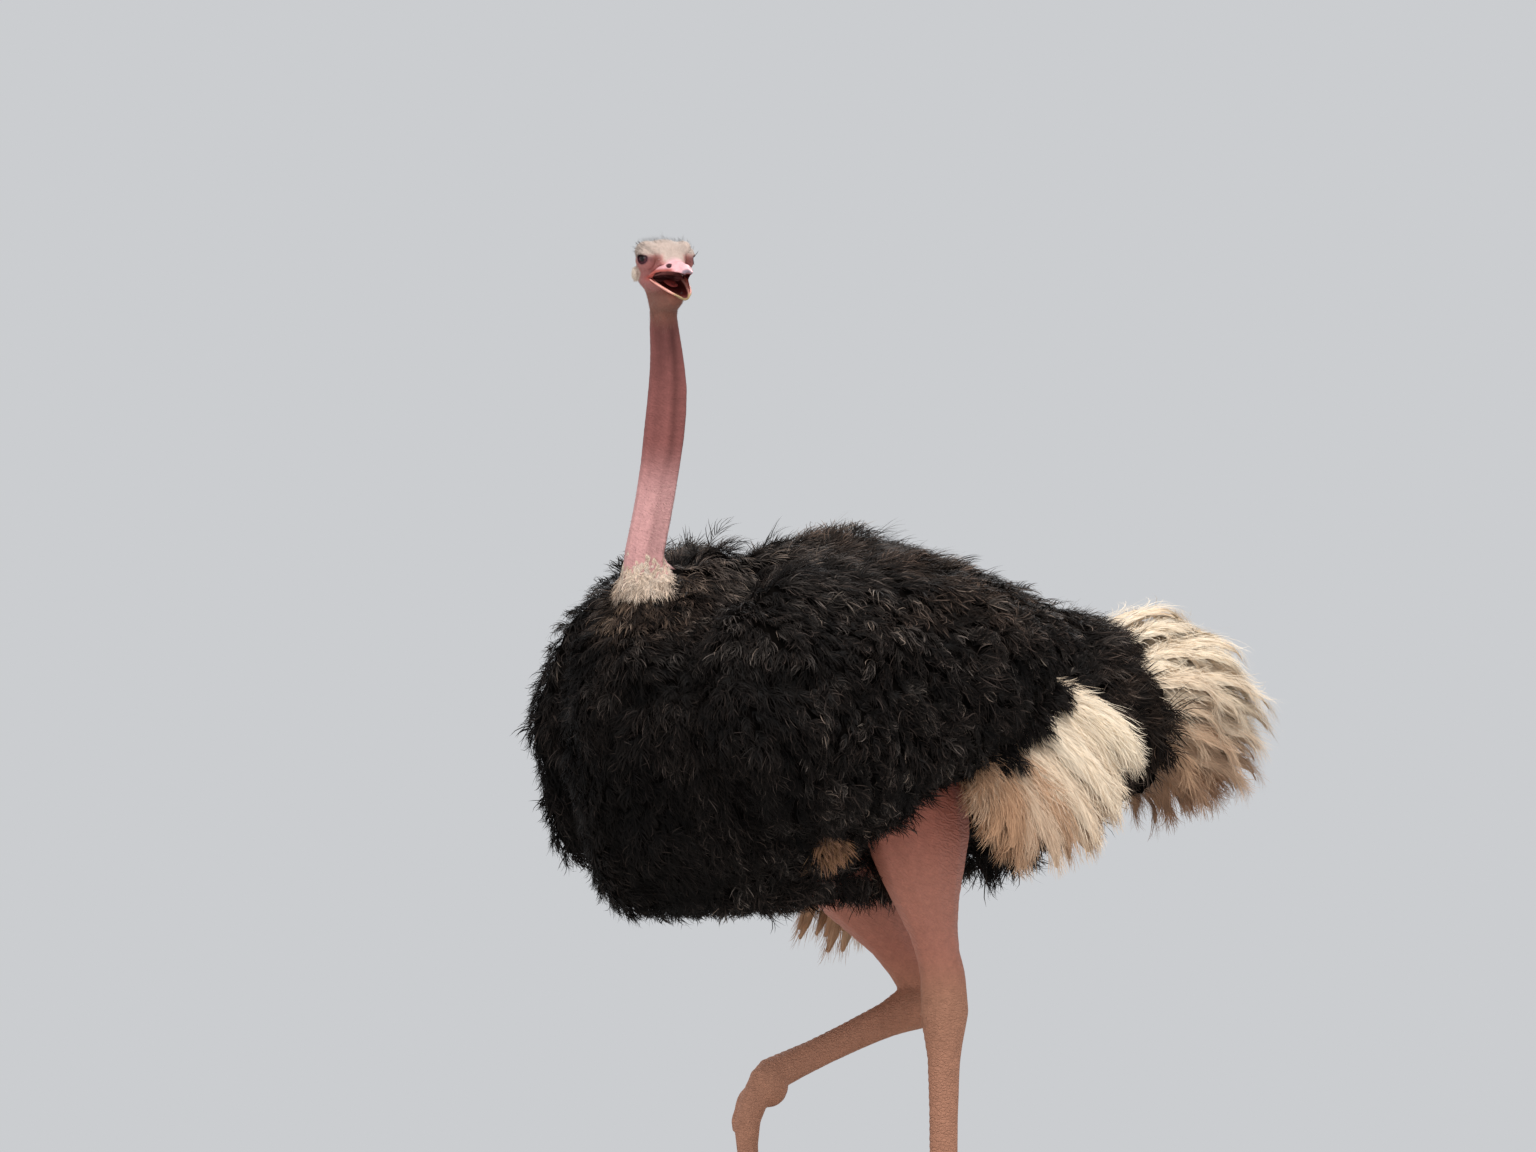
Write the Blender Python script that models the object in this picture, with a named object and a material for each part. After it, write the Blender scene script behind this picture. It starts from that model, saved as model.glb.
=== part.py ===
"""A male Masai ostrich, life size, in mid-stride on a flat display base.

Metres, +Z up. The bird faces -Y and its left side is +X. The origin is the centre of the base's
underside. Every piece of the bird is a smooth loft along a short spine, or a few lofts melted into
one body, and pieces that meet are carved by each other with a thin gap between them.
"""

import math

import bmesh
import bpy
from mathutils import Matrix, Vector, noise

# Driving sizes
GAP = 0.0005  # clearance between neighbouring pieces
FEATHER_GAP = 0.002  # clearance between masses of feathers
BASE_SIZE = (0.62, 0.92, 0.03)  # width, length and thickness of the display base
BASE_CORNER = 0.10
BASE_RIM = 0.004  # the bevel round the base's top edge
SOLE = BASE_SIZE[2] + 0.0004  # the planted foot's flat underside

HEAD_AT = Vector((0.0434, -0.5174, 2.063))  # midway between the eyes
HEAD_TURN = math.radians(80)  # the head looks to the bird's left
HEAD_RAISE = math.radians(2)
JAW_OPEN = math.radians(25)
JAW_HINGE = Vector((-0.012, 0.0, -0.034))
EYE_RADIUS = 0.0235
EYE_SPREAD = 0.0360  # from the midline to an eyeball's centre

EYE_AT = 0.004, -0.002  # how far ahead of the head's origin it is, and how high
EAR_AT = (-0.042, 0.0475, -0.032)
EAR_TURN = math.radians(14)
EAR_RADII = (0.0125, 0.0065, 0.0150)

PLUME_DROOP = {"left": 0.0, "right": 0.17}  # how much lower each wing's plumes hang
SIDES = {"left": 1, "right": -1}

# Legs: the standing left leg and the swinging right leg
LEGS = {
    "left": {
        "knee": (0.160, -0.040, 1.000),
        "hock": (0.100, 0.142, 0.5425),
        "toe_joint": (0.092, 0.1445, 0.092),
    },
    "right": {
        "knee": (-0.130, -0.085, 0.940),
        "hock": (-0.090, 0.238, 0.5425),
        "toe_joint": (-0.070, -0.189, 0.3826),
    },
}


def clear_scene():
    for old in list(bpy.data.objects):
        bpy.data.objects.remove(old)


def finish_of(name, colour, roughness, metallic=0.0):
    """One Principled material for each finish, made once."""
    found = bpy.data.materials.get(name)
    if found:
        return found
    made = bpy.data.materials.new(name)
    made.use_nodes = True
    shader = made.node_tree.nodes["Principled BSDF"]
    shader.inputs["Base Color"].default_value = (*colour, 1.0)
    shader.inputs["Roughness"].default_value = roughness
    shader.inputs["Metallic"].default_value = metallic
    return made


def black_plumage():
    return finish_of("black_plumage", (0.022, 0.020, 0.019), 0.65)


def pale_plumage():
    return finish_of("pale_plumage", (0.62, 0.53, 0.42), 0.8)


def bare_skin():
    return finish_of("bare_skin", (0.55, 0.26, 0.24), 0.55)


def leg_scales():
    return finish_of("leg_scales", (0.40, 0.22, 0.22), 0.5)


def horn():
    return finish_of("horn", (0.48, 0.25, 0.22), 0.4)


def claw_horn():
    return finish_of("claw_horn", (0.06, 0.05, 0.05), 0.4)


def eye_gloss():
    return finish_of("eye_gloss", (0.02, 0.012, 0.01), 0.05)


def add_piece(name, bm, material, smooth=True):
    """Links a bmesh to the scene as a named object, in triangles so that a cut reads it the same."""
    bmesh.ops.triangulate(bm, faces=bm.faces)
    bmesh.ops.recalc_face_normals(bm, faces=bm.faces)
    mesh = bpy.data.meshes.new(name)
    bm.to_mesh(mesh)
    bm.free()
    piece = bpy.data.objects.new(name, mesh)
    bpy.context.scene.collection.objects.link(piece)
    piece.data.materials.append(material)
    if smooth:
        piece.data.shade_smooth()
    return piece


def settled(piece):
    """Applies the piece's modifiers to its mesh."""
    bpy.context.view_layer.update()
    graph = bpy.context.evaluated_depsgraph_get()
    piece.data = bpy.data.meshes.new_from_object(piece.evaluated_get(graph))
    piece.modifiers.clear()
    return piece


def through(rows, count):
    """Points evenly spread along a smooth curve through the rows, which may hold any numbers."""
    found = []
    last = len(rows) - 1
    for i in range(count):
        at = i / (count - 1) * last
        k = min(int(at), last - 1)
        t = at - k
        before, start, end, after = (
            rows[max(k - 1, 0)],
            rows[k],
            rows[k + 1],
            rows[min(k + 2, last)],
        )
        found.append(
            [
                0.5
                * (
                    2 * b
                    + (c - a) * t
                    + (2 * a - 5 * b + 4 * c - d) * t * t
                    + (3 * b - a - 3 * c + d) * t**3
                )
                for a, b, c, d in zip(before, start, end, after)
            ]
        )
    return found


DOME_LEAN = math.radians(78)  # how far round a loft's rounded end reaches before its flat cap


def loft(bm, rows, rings, segments, side=(1, 0, 0), dome=0.6, dome_rings=2):
    """Skins rings along a spine. A row is x, y, z, half size along side, half size across it."""
    stations = through(rows, rings)
    centres = [Vector(s[:3]) for s in stations]
    loops = []

    def ring(centre, along, wide, deep):
        across = (Vector(side) - along * along.dot(Vector(side))).normalized()
        other = along.cross(across)
        frame = Matrix.Identity(4)
        for row in range(3):
            frame[row][0] = across[row] * wide
            frame[row][1] = other[row] * deep
            frame[row][2] = along[row]
            frame[row][3] = centre[row]
        made = bmesh.ops.create_circle(bm, segments=segments, radius=1.0, matrix=frame)["verts"]
        loops.append(made)

    def dome_ring(centre, along, wide, deep, step):
        lean = DOME_LEAN * abs(step) / dome_rings
        reach = along * math.copysign(math.sin(lean), step) * min(wide, deep) * dome
        ring(centre + reach, along, wide * math.cos(lean), deep * math.cos(lean))

    for i, (centre, station) in enumerate(zip(centres, stations)):
        along = (centres[min(i + 1, rings - 1)] - centres[max(i - 1, 0)]).normalized()
        wide, deep = station[3], station[4]
        if i == 0:
            for step in range(-dome_rings, 0):
                dome_ring(centre, along, wide, deep, step)
        ring(centre, along, wide, deep)
        if i == rings - 1:
            for step in range(1, dome_rings + 1):
                dome_ring(centre, along, wide, deep, step)

    for near, far in zip(loops, loops[1:]):
        for k in range(segments):
            after = (k + 1) % segments
            bm.faces.new((near[k], near[after], far[after], far[k]))
    bm.faces.new(loops[0][::-1])
    bm.faces.new(loops[-1])
    return [v for made in loops for v in made]


def ruffle(bm, amount, scale):
    """Breaks a plumage surface into soft lumps, as clumps of feathers do."""
    bmesh.ops.recalc_face_normals(bm, faces=bm.faces)
    bm.normal_update()
    for v in bm.verts:
        v.co += v.normal * amount * noise.noise(v.co * scale)


def melted(name, bm, material, voxel, faces, smoothing=2):
    """Melts the closed shapes in a bmesh into one smooth body of about that many triangles."""
    piece = add_piece(name, bm, material)
    remesh = piece.modifiers.new("melt", "REMESH")
    remesh.mode = "VOXEL"
    remesh.voxel_size = voxel
    if smoothing:
        calm = piece.modifiers.new("calm", "SMOOTH")
        calm.factor = 0.5
        calm.iterations = smoothing
    settled(piece)
    triangles = sum(len(p.vertices) - 2 for p in piece.data.polygons)
    thin = piece.modifiers.new("thin", "DECIMATE")
    thin.ratio = min(1.0, faces / triangles)
    settled(piece)
    piece.data.shade_smooth()
    return piece


uncarved = {}  # each piece's whole shape before it was cut, which makes the cleanest cutter


def grown(piece, gap):
    """A copy of a piece, larger by a gap all round, that cuts its neighbours."""
    bm = bmesh.new()
    bm.from_mesh(uncarved.get(piece.name, piece.data))
    bm.normal_update()
    moves = [(v, v.normal * gap * min(v.calc_shell_factor(), 2.0)) for v in bm.verts]
    for v, move in moves:
        v.co += move
    mesh = bpy.data.meshes.new(piece.name + "_room")
    bm.to_mesh(mesh)
    bm.free()
    cutter = bpy.data.objects.new(piece.name + "_room", mesh)
    bpy.context.scene.collection.objects.link(cutter)
    cutter.hide_render = True
    cutter.display_type = "WIRE"
    return cutter


def keep_largest(piece):
    """Drops the crumbs that a cut leaves beside the main body."""
    bm = bmesh.new()
    bm.from_mesh(piece.data)
    left = set(bm.verts)
    islands = []
    while left:
        todo = [left.pop()]
        island = []
        while todo:
            v = todo.pop()
            island.append(v)
            for edge in v.link_edges:
                other = edge.other_vert(v)
                if other in left:
                    left.remove(other)
                    todo.append(other)
        islands.append(island)
    islands.sort(key=len)
    crumbs = [v for island in islands[:-1] for v in island]
    bmesh.ops.delete(bm, geom=crumbs, context="VERTS")
    bm.to_mesh(piece.data)
    bm.free()


def carve(piece, *neighbours, gap=GAP):
    """Cuts room for the neighbours out of a piece."""
    uncarved[piece.name] = piece.data.copy()
    for neighbour in neighbours:
        cut = piece.modifiers.new("room for " + neighbour.name, "BOOLEAN")
        cut.operation = "DIFFERENCE"
        cut.solver = "EXACT"
        cut.object = grown(neighbour, gap)
    settled(piece)
    keep_largest(piece)
    return piece


def part_at(piece, name, height):
    """Cuts a piece in two with a thin level cut. Its upper part gets the name."""
    upper = bpy.data.objects.new(name, piece.data.copy())
    bpy.context.scene.collection.objects.link(upper)
    for half, sign in ((piece, -1), (upper, 1)):
        bm = bmesh.new()
        bm.from_mesh(half.data)
        cut = bmesh.ops.bisect_plane(
            bm,
            geom=bm.verts[:] + bm.edges[:] + bm.faces[:],
            plane_co=(0, 0, height + sign * GAP / 2),
            plane_no=(0, 0, -sign),
            clear_outer=True,
        )
        edges = [e for e in cut["geom_cut"] if isinstance(e, bmesh.types.BMEdge)]
        bmesh.ops.holes_fill(bm, edges=edges)
        bmesh.ops.recalc_face_normals(bm, faces=bm.faces)
        bm.to_mesh(half.data)
        bm.free()
    return upper


def head_frame():
    """Head coordinates, X forward, Y to the bird's left and Z up, carried into the model."""
    aim = Matrix.Rotation(HEAD_TURN - math.pi / 2, 4, "Z")
    raise_bill = Matrix.Rotation(-HEAD_RAISE, 4, "Y")
    return Matrix.Translation(HEAD_AT) @ aim @ raise_bill


def jaw_frame():
    hinge = Matrix.Translation(JAW_HINGE)
    return head_frame() @ hinge @ Matrix.Rotation(JAW_OPEN, 4, "Y") @ hinge.inverted()


def placed(bm, matrix):
    bmesh.ops.transform(bm, matrix=matrix, verts=bm.verts)


# The display base


def make_base():
    bm = bmesh.new()
    width, length, thick = BASE_SIZE
    box = Matrix.Translation((0, 0, thick / 2)) @ Matrix.Diagonal((width, length, thick, 1))
    bmesh.ops.create_cube(bm, size=1.0, matrix=box)
    upright = [e for e in bm.edges if abs(e.verts[0].co.z - e.verts[1].co.z) > thick / 2]
    bmesh.ops.bevel(
        bm, geom=upright, offset=BASE_CORNER, affect="EDGES", segments=5, profile=0.5, material=-1
    )
    rim = [e for e in bm.edges if all(v.co.z > thick - 1e-6 for v in e.verts)]
    bmesh.ops.bevel(
        bm, geom=rim, offset=BASE_RIM, affect="EDGES", segments=1, profile=0.5, material=-1
    )
    return add_piece("stand_base", bm, finish_of("base_paint", (0.30, 0.28, 0.26), 0.6), False)


# The body under its plumage

TRUNK = (  # x, y, z of the centre, half width, half height
    (0, -0.600, 1.005, 0.155, 0.260),
    (0, -0.560, 1.020, 0.225, 0.330),
    (0, -0.460, 1.055, 0.280, 0.370),
    (0, -0.340, 1.090, 0.312, 0.395),
    (0, -0.180, 1.120, 0.322, 0.390),
    (0, 0.000, 1.140, 0.322, 0.365),
    (0, 0.160, 1.140, 0.308, 0.330),
    (0, 0.300, 1.120, 0.282, 0.290),
    (0, 0.430, 1.105, 0.248, 0.245),
    (0, 0.540, 1.095, 0.205, 0.205),
)
SWELLS = (  # centre, reach and push: soft rises in the plumage, and the hollow round the neck
    ((0.0, -0.545, 1.400), 0.110, (0, 0, -0.055)),
    ((0.06, -0.360, 1.490), 0.080, (0, 0, 0.040)),
    ((-0.08, -0.370, 1.470), 0.080, (0, 0, 0.030)),
    ((0.0, -0.260, 1.500), 0.080, (0, 0, -0.036)),
    ((0.0, -0.090, 1.520), 0.120, (0, 0, 0.030)),
    ((0.0, 0.500, 1.320), 0.090, (0, 0, 0.030)),
    ((-0.03, -0.540, 0.760), 0.150, (0, -0.050, -0.012)),
    ((-0.15, -0.560, 0.880), 0.150, (-0.012, -0.016, -0.004)),
    ((-0.17, -0.460, 0.800), 0.140, (-0.028, -0.022, -0.036)),
)
FLANK = (0.10, 0.34, 1.06, 0.40)  # middle, reach along Y, top and share of the tuck over the thighs


def swell(bm, swells):
    for centre, near, push in swells:
        for v in bm.verts:
            away = (v.co - Vector(centre)).length / near
            v.co += Vector(push) * math.exp(-(away**2))


def make_trunk():
    bm = bmesh.new()
    loft(bm, TRUNK, rings=12, segments=20, dome=0.45, dome_rings=2)
    middle, reach, top, share = FLANK
    for v in bm.verts:
        low = min(1.0, max(0.0, (top - v.co.z) / 0.22))
        near = max(0.0, 1.0 - ((v.co.y - middle) / reach) ** 2)
        v.co.x *= 1.0 - share * low * near
    swell(bm, SWELLS)
    ruffle(bm, 0.018, 7.0)
    return add_piece("trunk", bm, black_plumage())


WING = (  # x, y, z of the centre, half thickness, half height, for the left wing
    (0.325, -0.585, 1.090, 0.050, 0.110),
    (0.340, -0.540, 1.105, 0.090, 0.190),
    (0.345, -0.450, 1.130, 0.118, 0.265),
    (0.335, -0.320, 1.150, 0.128, 0.300),
    (0.325, -0.180, 1.180, 0.128, 0.290),
    (0.315, -0.040, 1.210, 0.120, 0.255),
    (0.305, 0.090, 1.235, 0.108, 0.205),
    (0.290, 0.200, 1.255, 0.090, 0.145),
    (0.280, 0.270, 1.265, 0.060, 0.085),
)
WING_SPREAD = {"left": 1.0, "right": 0.935}
WING_DEPTH = {"left": 1.0, "right": 1.08}
WING_SHIFT = {"left": Vector((0, 0, 0)), "right": Vector((0, 0.002, 0.008))}
FAR_WING_SWELLS = (  # the same for the right wing alone, in the left wing's coordinates
    ((0.370, -0.530, 1.300), 0.120, (-0.030, 0.055, 0.000)),
    ((0.355, -0.500, 0.900), 0.135, (0.000, -0.030, -0.100)),
)
WING_LEAN = 0.085  # how far the wing's top leans in over the back
WING_TUCK = 0.020  # how far its lower edge tucks in


def make_wing(side):
    bm = bmesh.new()
    loft(bm, WING, rings=9, segments=13, dome=0.5, dome_rings=2)
    stations = through(WING, 40)
    for v in bm.verts:
        nearest = min(stations, key=lambda s: abs(s[1] - v.co.y))
        height = (v.co.z - nearest[2]) / 0.30
        v.co.x -= (WING_LEAN if height > 0 else WING_TUCK) * height**2
        v.co.z = nearest[2] + (v.co.z - nearest[2]) * WING_DEPTH[side]
        v.co += WING_SHIFT[side]
    if side == "right":
        swell(bm, FAR_WING_SWELLS)
    ruffle(bm, 0.022, 8.0)
    placed(bm, Matrix.Diagonal((SIDES[side] * WING_SPREAD[side], 1, 1, 1)))
    return add_piece("wing_" + side, bm, black_plumage())


# Long plumes: fans of flattened, drooping lobes melted into one mass


def lobe(bm, root, bend, tip, wide, thick, side):
    """One plume's outline: widest beyond its middle and rounded at the tip."""
    rows = []
    for t, share in ((0.0, 0.55), (0.35, 0.9), (0.7, 1.0), (1.0, 0.62)):
        at = Vector(root) * (1 - t) ** 2 + Vector(bend) * 2 * t * (1 - t) + Vector(tip) * t * t
        rows.append((*at, wide * share, thick * share))
    loft(bm, rows, rings=7, segments=10, side=side, dome=0.9, dome_rings=2)


WING_PLUME_ROOTS = ((0.310, 0.000, 1.060), (0.300, 0.240, 1.200))  # front and rear of the fan
WING_PLUME_TIPS = (  # the fan's edge, from its front corner round to its rear
    (0.330, 0.060, 0.930),
    (0.350, 0.150, 0.862),
    (0.365, 0.250, 0.828),
    (0.375, 0.345, 0.868),
    (0.375, 0.415, 0.950),
    (0.365, 0.450, 1.045),
)
WING_PLUMES = 8


def make_wing_plumes(side):
    bm = bmesh.new()
    front, rear = (Vector(p) for p in WING_PLUME_ROOTS)
    tips = through(WING_PLUME_TIPS, WING_PLUMES)
    drop = Vector((0, 0, -PLUME_DROOP[side]))
    for i, tip in enumerate(tips):
        share = i / (WING_PLUMES - 1)
        root = front.lerp(rear, share) + drop * 0.3
        tip = Vector(tip) + drop
        bend = root.lerp(tip, 0.5) + Vector((0.045, 0.020, 0.045))
        lobe(bm, root, bend, tip, wide=0.052, thick=0.030, side=(0, 1, -0.6))
    placed(bm, Matrix.Diagonal((SIDES[side], 1, 1, 1)))
    return melted("plumes_" + side, bm, pale_plumage(), voxel=0.010, faces=300)


TAIL_ROOT = Vector((0, 0.575, 1.165))
TAIL_HEART = Vector((0, 0.795, 1.138))  # the middle of the tail's bush of plumes
TAIL_REACH = Vector((0.180, 0.190, 0.215))  # half width, half length and half height of the bush
TAIL_BUSH = (0.145, 0.120, 0.160)  # the radii of the solid middle that the plumes spring from
TAIL_PLUMES = 20


def make_tail():
    """Plumes spring from the root and arch out to every side, each drooping at its tip."""
    bm = bmesh.new()
    bush = Matrix.Translation(TAIL_HEART) @ Matrix.Diagonal((*TAIL_BUSH, 1))
    bmesh.ops.create_icosphere(bm, subdivisions=3, radius=1.0, matrix=bush)
    golden = math.pi * (3 - math.sqrt(5))
    for k in range(TAIL_PLUMES):
        back = 1 - 1.12 * (k + 0.5) / TAIL_PLUMES
        wide = math.sqrt(max(0.0, 1 - back * back))
        out = Vector((wide * math.sin(k * golden), back, wide * math.cos(k * golden)))
        out = Vector(a * b for a, b in zip(out, TAIL_REACH))
        tip = TAIL_HEART + out * 0.93 + Vector((0, 0, -0.030))
        bend = TAIL_HEART + out * 0.78 + Vector((0, 0, 0.075))
        start = TAIL_ROOT.lerp(TAIL_HEART, 0.5) + out * 0.25
        lobe(bm, start, bend, tip, wide=0.056, thick=0.034, side=(1, 0, 0.2))
    return melted("tail", bm, pale_plumage(), voxel=0.013, faces=345)


RUMP = (  # x, y, z, half width, half height of the black feathers that cover the tail's root
    (0, 0.400, 1.120, 0.200, 0.200),
    (0, 0.500, 1.130, 0.215, 0.225),
    (0, 0.600, 1.140, 0.200, 0.205),
    (0, 0.680, 1.130, 0.160, 0.165),
)
RUMP_LOCKS = 11
RUMP_GIRTH = Vector((0.185, 0, 0.175))  # half width and half height of the ring of locks
LOCK_ROOT = Vector((0, 0.560, 1.140))
LOCK_TIP = Vector((0, 0.745, 1.110))


def make_rump():
    """The rump's feathers end in a ragged fringe of locks over the pale tail."""
    bm = bmesh.new()
    loft(bm, RUMP, rings=7, segments=20, dome=0.35, dome_rings=2)
    for k in range(RUMP_LOCKS):
        turn = 2 * math.pi * k / RUMP_LOCKS
        out = Vector((RUMP_GIRTH.x * math.sin(turn), 0, RUMP_GIRTH.z * math.cos(turn)))
        root = LOCK_ROOT + out * 0.8
        tip = LOCK_TIP + out * 0.92
        bend = root.lerp(tip, 0.5) + out * 0.18
        round_ring = (math.cos(turn), 0, -math.sin(turn))
        lobe(bm, root, bend, tip, wide=0.052, thick=0.030, side=round_ring)
    return melted("rump", bm, black_plumage(), voxel=0.013, faces=240)


# Neck

NECK = (  # x, y, z, half width, half depth, from inside the breast up to the skull
    (0, -0.430, 1.190, 0.070, 0.075),
    (0, -0.500, 1.270, 0.060, 0.064),
    (0, -0.538, 1.350, 0.048, 0.050),
    (0, -0.540, 1.440, 0.039, 0.041),
    (0, -0.520, 1.530, 0.037, 0.040),
    (0, -0.500, 1.620, 0.038, 0.040),
    (0, -0.486, 1.710, 0.040, 0.042),
    (0.002, -0.480, 1.790, 0.038, 0.040),
    (0.006, -0.484, 1.850, 0.0330, 0.0350),
    (0.010, -0.492, 1.900, 0.0295, 0.0310),
    (0.014, -0.500, 1.950, 0.0270, 0.0285),
    (0.018, -0.503, 2.000, 0.0270, 0.0285),
)
NECK_PARTINGS = {"neck_middle": 1.560, "neck_upper": 1.760}
HEAD_PARTING = 1.955


def make_neck():
    bm = bmesh.new()
    loft(bm, NECK, rings=18, segments=12, side=(1, 0, 0), dome=0.5)
    lower = add_piece("neck_lower", bm, bare_skin())
    pieces = [lower]
    for name, height in NECK_PARTINGS.items():
        pieces.append(part_at(pieces[-1], name, height))
    bpy.data.objects.remove(part_at(pieces[-1], "neck_top", HEAD_PARTING))
    return pieces


# Head, in its own frame: the origin is midway between the eyes

SKULL = (  # x, y, z, half width, half height, from the back of the skull to the bill's root
    (-0.060, 0, -0.006, 0.024, 0.024),
    (-0.048, 0, -0.004, 0.041, 0.034),
    (-0.026, 0, -0.003, 0.054, 0.038),
    (0.000, 0, -0.003, 0.0585, 0.038),
    (0.018, 0, -0.006, 0.0450, 0.034),
    (0.036, 0, -0.012, 0.0310, 0.024),
    (0.052, 0, -0.017, 0.0270, 0.015),
)
CHEEK = (  # the jaw muscles, from below the ear forward along the gape
    (-0.046, 0, -0.036, 0.039, 0.026),
    (-0.030, 0, -0.044, 0.0455, 0.029),
    (-0.008, 0, -0.047, 0.0440, 0.024),
    (0.012, 0, -0.046, 0.0405, 0.016),
)
THROAT = (  # the loose skin between the jaw's two sides, sagging towards the neck
    (-0.030, 0.008, -0.090, 0.030, 0.030),
    (0.000, 0.004, -0.088, 0.031, 0.027),
    (0.030, 0.000, -0.084, 0.027, 0.023),
    (0.054, 0.000, -0.086, 0.019, 0.014),
)
NAPE = (  # x, y, z, half depth, half width, from the neck's top up into the skull
    (-0.0235, 0.0105, -0.125, 0.0300, 0.0285),
    (-0.0260, 0.0100, -0.105, 0.0300, 0.0285),
    (-0.0320, 0.0080, -0.080, 0.0300, 0.0300),
    (-0.0360, 0.0040, -0.050, 0.0300, 0.0330),
    (-0.0340, 0.0000, -0.020, 0.0300, 0.0340),
)
BROW = ((-0.002, 0.040, 0.012), (0.036, 0.021, 0.022))  # centre and radii of each brow


def make_head(neck_top):
    frame = head_frame()
    bm = bmesh.new()
    loft(bm, SKULL, rings=11, segments=20, side=(0, 1, 0), dome=0.7)
    loft(bm, CHEEK, rings=6, segments=16, side=(0, 1, 0), dome=0.7)
    loft(bm, THROAT, rings=7, segments=16, side=(0, 1, 0), dome=0.7)
    centre, radii = BROW
    for sign in (1, -1):
        brow = Matrix.Translation((centre[0], sign * centre[1], centre[2]))
        bmesh.ops.create_icosphere(
            bm, subdivisions=2, radius=1.0, matrix=brow @ Matrix.Diagonal((*radii, 1))
        )
    loft(bm, NAPE, rings=8, segments=16, side=(1, 0, 0), dome=0.4)
    placed(bm, frame)
    bm.from_mesh(neck_top.data)
    melt = melted("head_and_neck", bm, bare_skin(), voxel=0.0032, faces=560, smoothing=3)
    head = part_at(melt, "head", HEAD_PARTING)
    bpy.data.objects.remove(melt)
    return head


def bill_section(bm, x, z, half_width, outer, hollow, lip, segments=8):
    """A closed ring: a domed outer side and, between two rims, a hollowed inner side."""
    ring = []
    for k in range(segments + 1):
        across = -math.cos(math.pi * k / segments)
        ring.append((across * half_width, outer * math.sqrt(max(0.0, 1 - across * across)) + lip))
    for k in range(segments - 1, 0, -1):
        across = -math.cos(math.pi * k / segments)
        ring.append((across * (half_width * 0.86), hollow * (1 - across**4)))
    return [bm.verts.new((x, y, z + height)) for y, height in ring]


def make_bill(name, frame, stations, sign, segments=8):
    """stations: x, z of the biting edge, half width, outer depth, hollow depth."""
    bm = bmesh.new()
    rings = []
    for x, z, half_width, outer, hollow in through(stations, 7):
        rings.append(
            bill_section(bm, x, z, half_width, sign * outer, sign * hollow, sign * 0.0012, segments)
        )
    count = len(rings[0])
    for near, far in zip(rings, rings[1:]):
        for k in range(count):
            bm.faces.new((near[k], near[(k + 1) % count], far[(k + 1) % count], far[k]))
    bm.faces.new(rings[0])
    bm.faces.new(rings[-1])
    placed(bm, frame)
    return add_piece(name, bm, horn())


UPPER_BILL = (  # x, z of the biting edge, half width, height above it, depth of the palate
    (0.012, -0.0400, 0.0430, 0.012, 0.0080),
    (0.036, -0.0350, 0.0390, 0.0210, 0.0090),
    (0.060, -0.0335, 0.0325, 0.0210, 0.0090),
    (0.084, -0.0345, 0.0240, 0.0165, 0.0070),
    (0.101, -0.0375, 0.0165, 0.0130, 0.0045),
    (0.1115, -0.0420, 0.0080, 0.0095, 0.0022),
)
LOWER_BILL = (  # the same, for the bill's lower half when the mouth is shut
    (0.014, -0.0315, 0.0415, 0.0130, 0.0080),
    (0.040, -0.0312, 0.0380, 0.0140, 0.0095),
    (0.065, -0.0308, 0.0315, 0.0130, 0.0090),
    (0.086, -0.0312, 0.0240, 0.0105, 0.0065),
    (0.100, -0.0325, 0.0155, 0.0085, 0.0040),
    (0.1085, -0.0340, 0.0080, 0.0065, 0.0020),
)


def make_tongue():
    bm = bmesh.new()
    rows = (
        (0.020, 0, -0.0360, 0.0125, 0.0032),
        (0.036, 0, -0.0350, 0.0130, 0.0036),
        (0.050, 0, -0.0345, 0.0090, 0.0030),
    )
    loft(bm, rows, rings=4, segments=10, side=(0, 1, 0), dome=1.2, dome_rings=1)
    placed(bm, jaw_frame())
    return add_piece("tongue", bm, finish_of("tongue", (0.42, 0.12, 0.12), 0.35))


def make_mouth_room():
    """The open gape, a wedge that is cut back into the head."""
    bm = bmesh.new()
    rows = (
        (-0.022, 0, -0.0390, 0.0250, 0.0035),
        (0.006, 0, -0.0425, 0.0370, 0.0060),
        (0.034, 0, -0.0500, 0.0360, 0.0135),
        (0.070, 0, -0.0600, 0.0290, 0.0220),
        (0.130, 0, -0.0760, 0.0220, 0.0360),
    )
    loft(bm, rows, rings=6, segments=12, side=(0, 1, 0), dome_rings=1)
    placed(bm, head_frame())
    room = add_piece("mouth", bm, bare_skin())
    room.hide_render = True
    room.display_type = "WIRE"
    return room


def make_eye(side):
    bm = bmesh.new()
    ahead, high = EYE_AT
    at = head_frame() @ Matrix.Translation((ahead, SIDES[side] * EYE_SPREAD, high))
    outward = Matrix.Rotation(math.pi / 2, 4, "X")
    bmesh.ops.create_uvsphere(
        bm, u_segments=11, v_segments=7, radius=EYE_RADIUS, matrix=at @ outward
    )
    return add_piece("eye_" + side, bm, eye_gloss())


def make_ear(side):
    """The low rim of feathered skin round the ear's opening."""
    sign = SIDES[side]
    ahead, aside, high = EAR_AT
    place = Matrix.Translation((ahead, sign * aside, high)) @ Matrix.Rotation(sign * EAR_TURN, 4, "Z")
    bm = bmesh.new()
    bmesh.ops.create_icosphere(
        bm, subdivisions=2, radius=1.0, matrix=head_frame() @ place @ Matrix.Diagonal((*EAR_RADII, 1))
    )
    return add_piece("ear_" + side, bm, bare_skin())


# Legs

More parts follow.
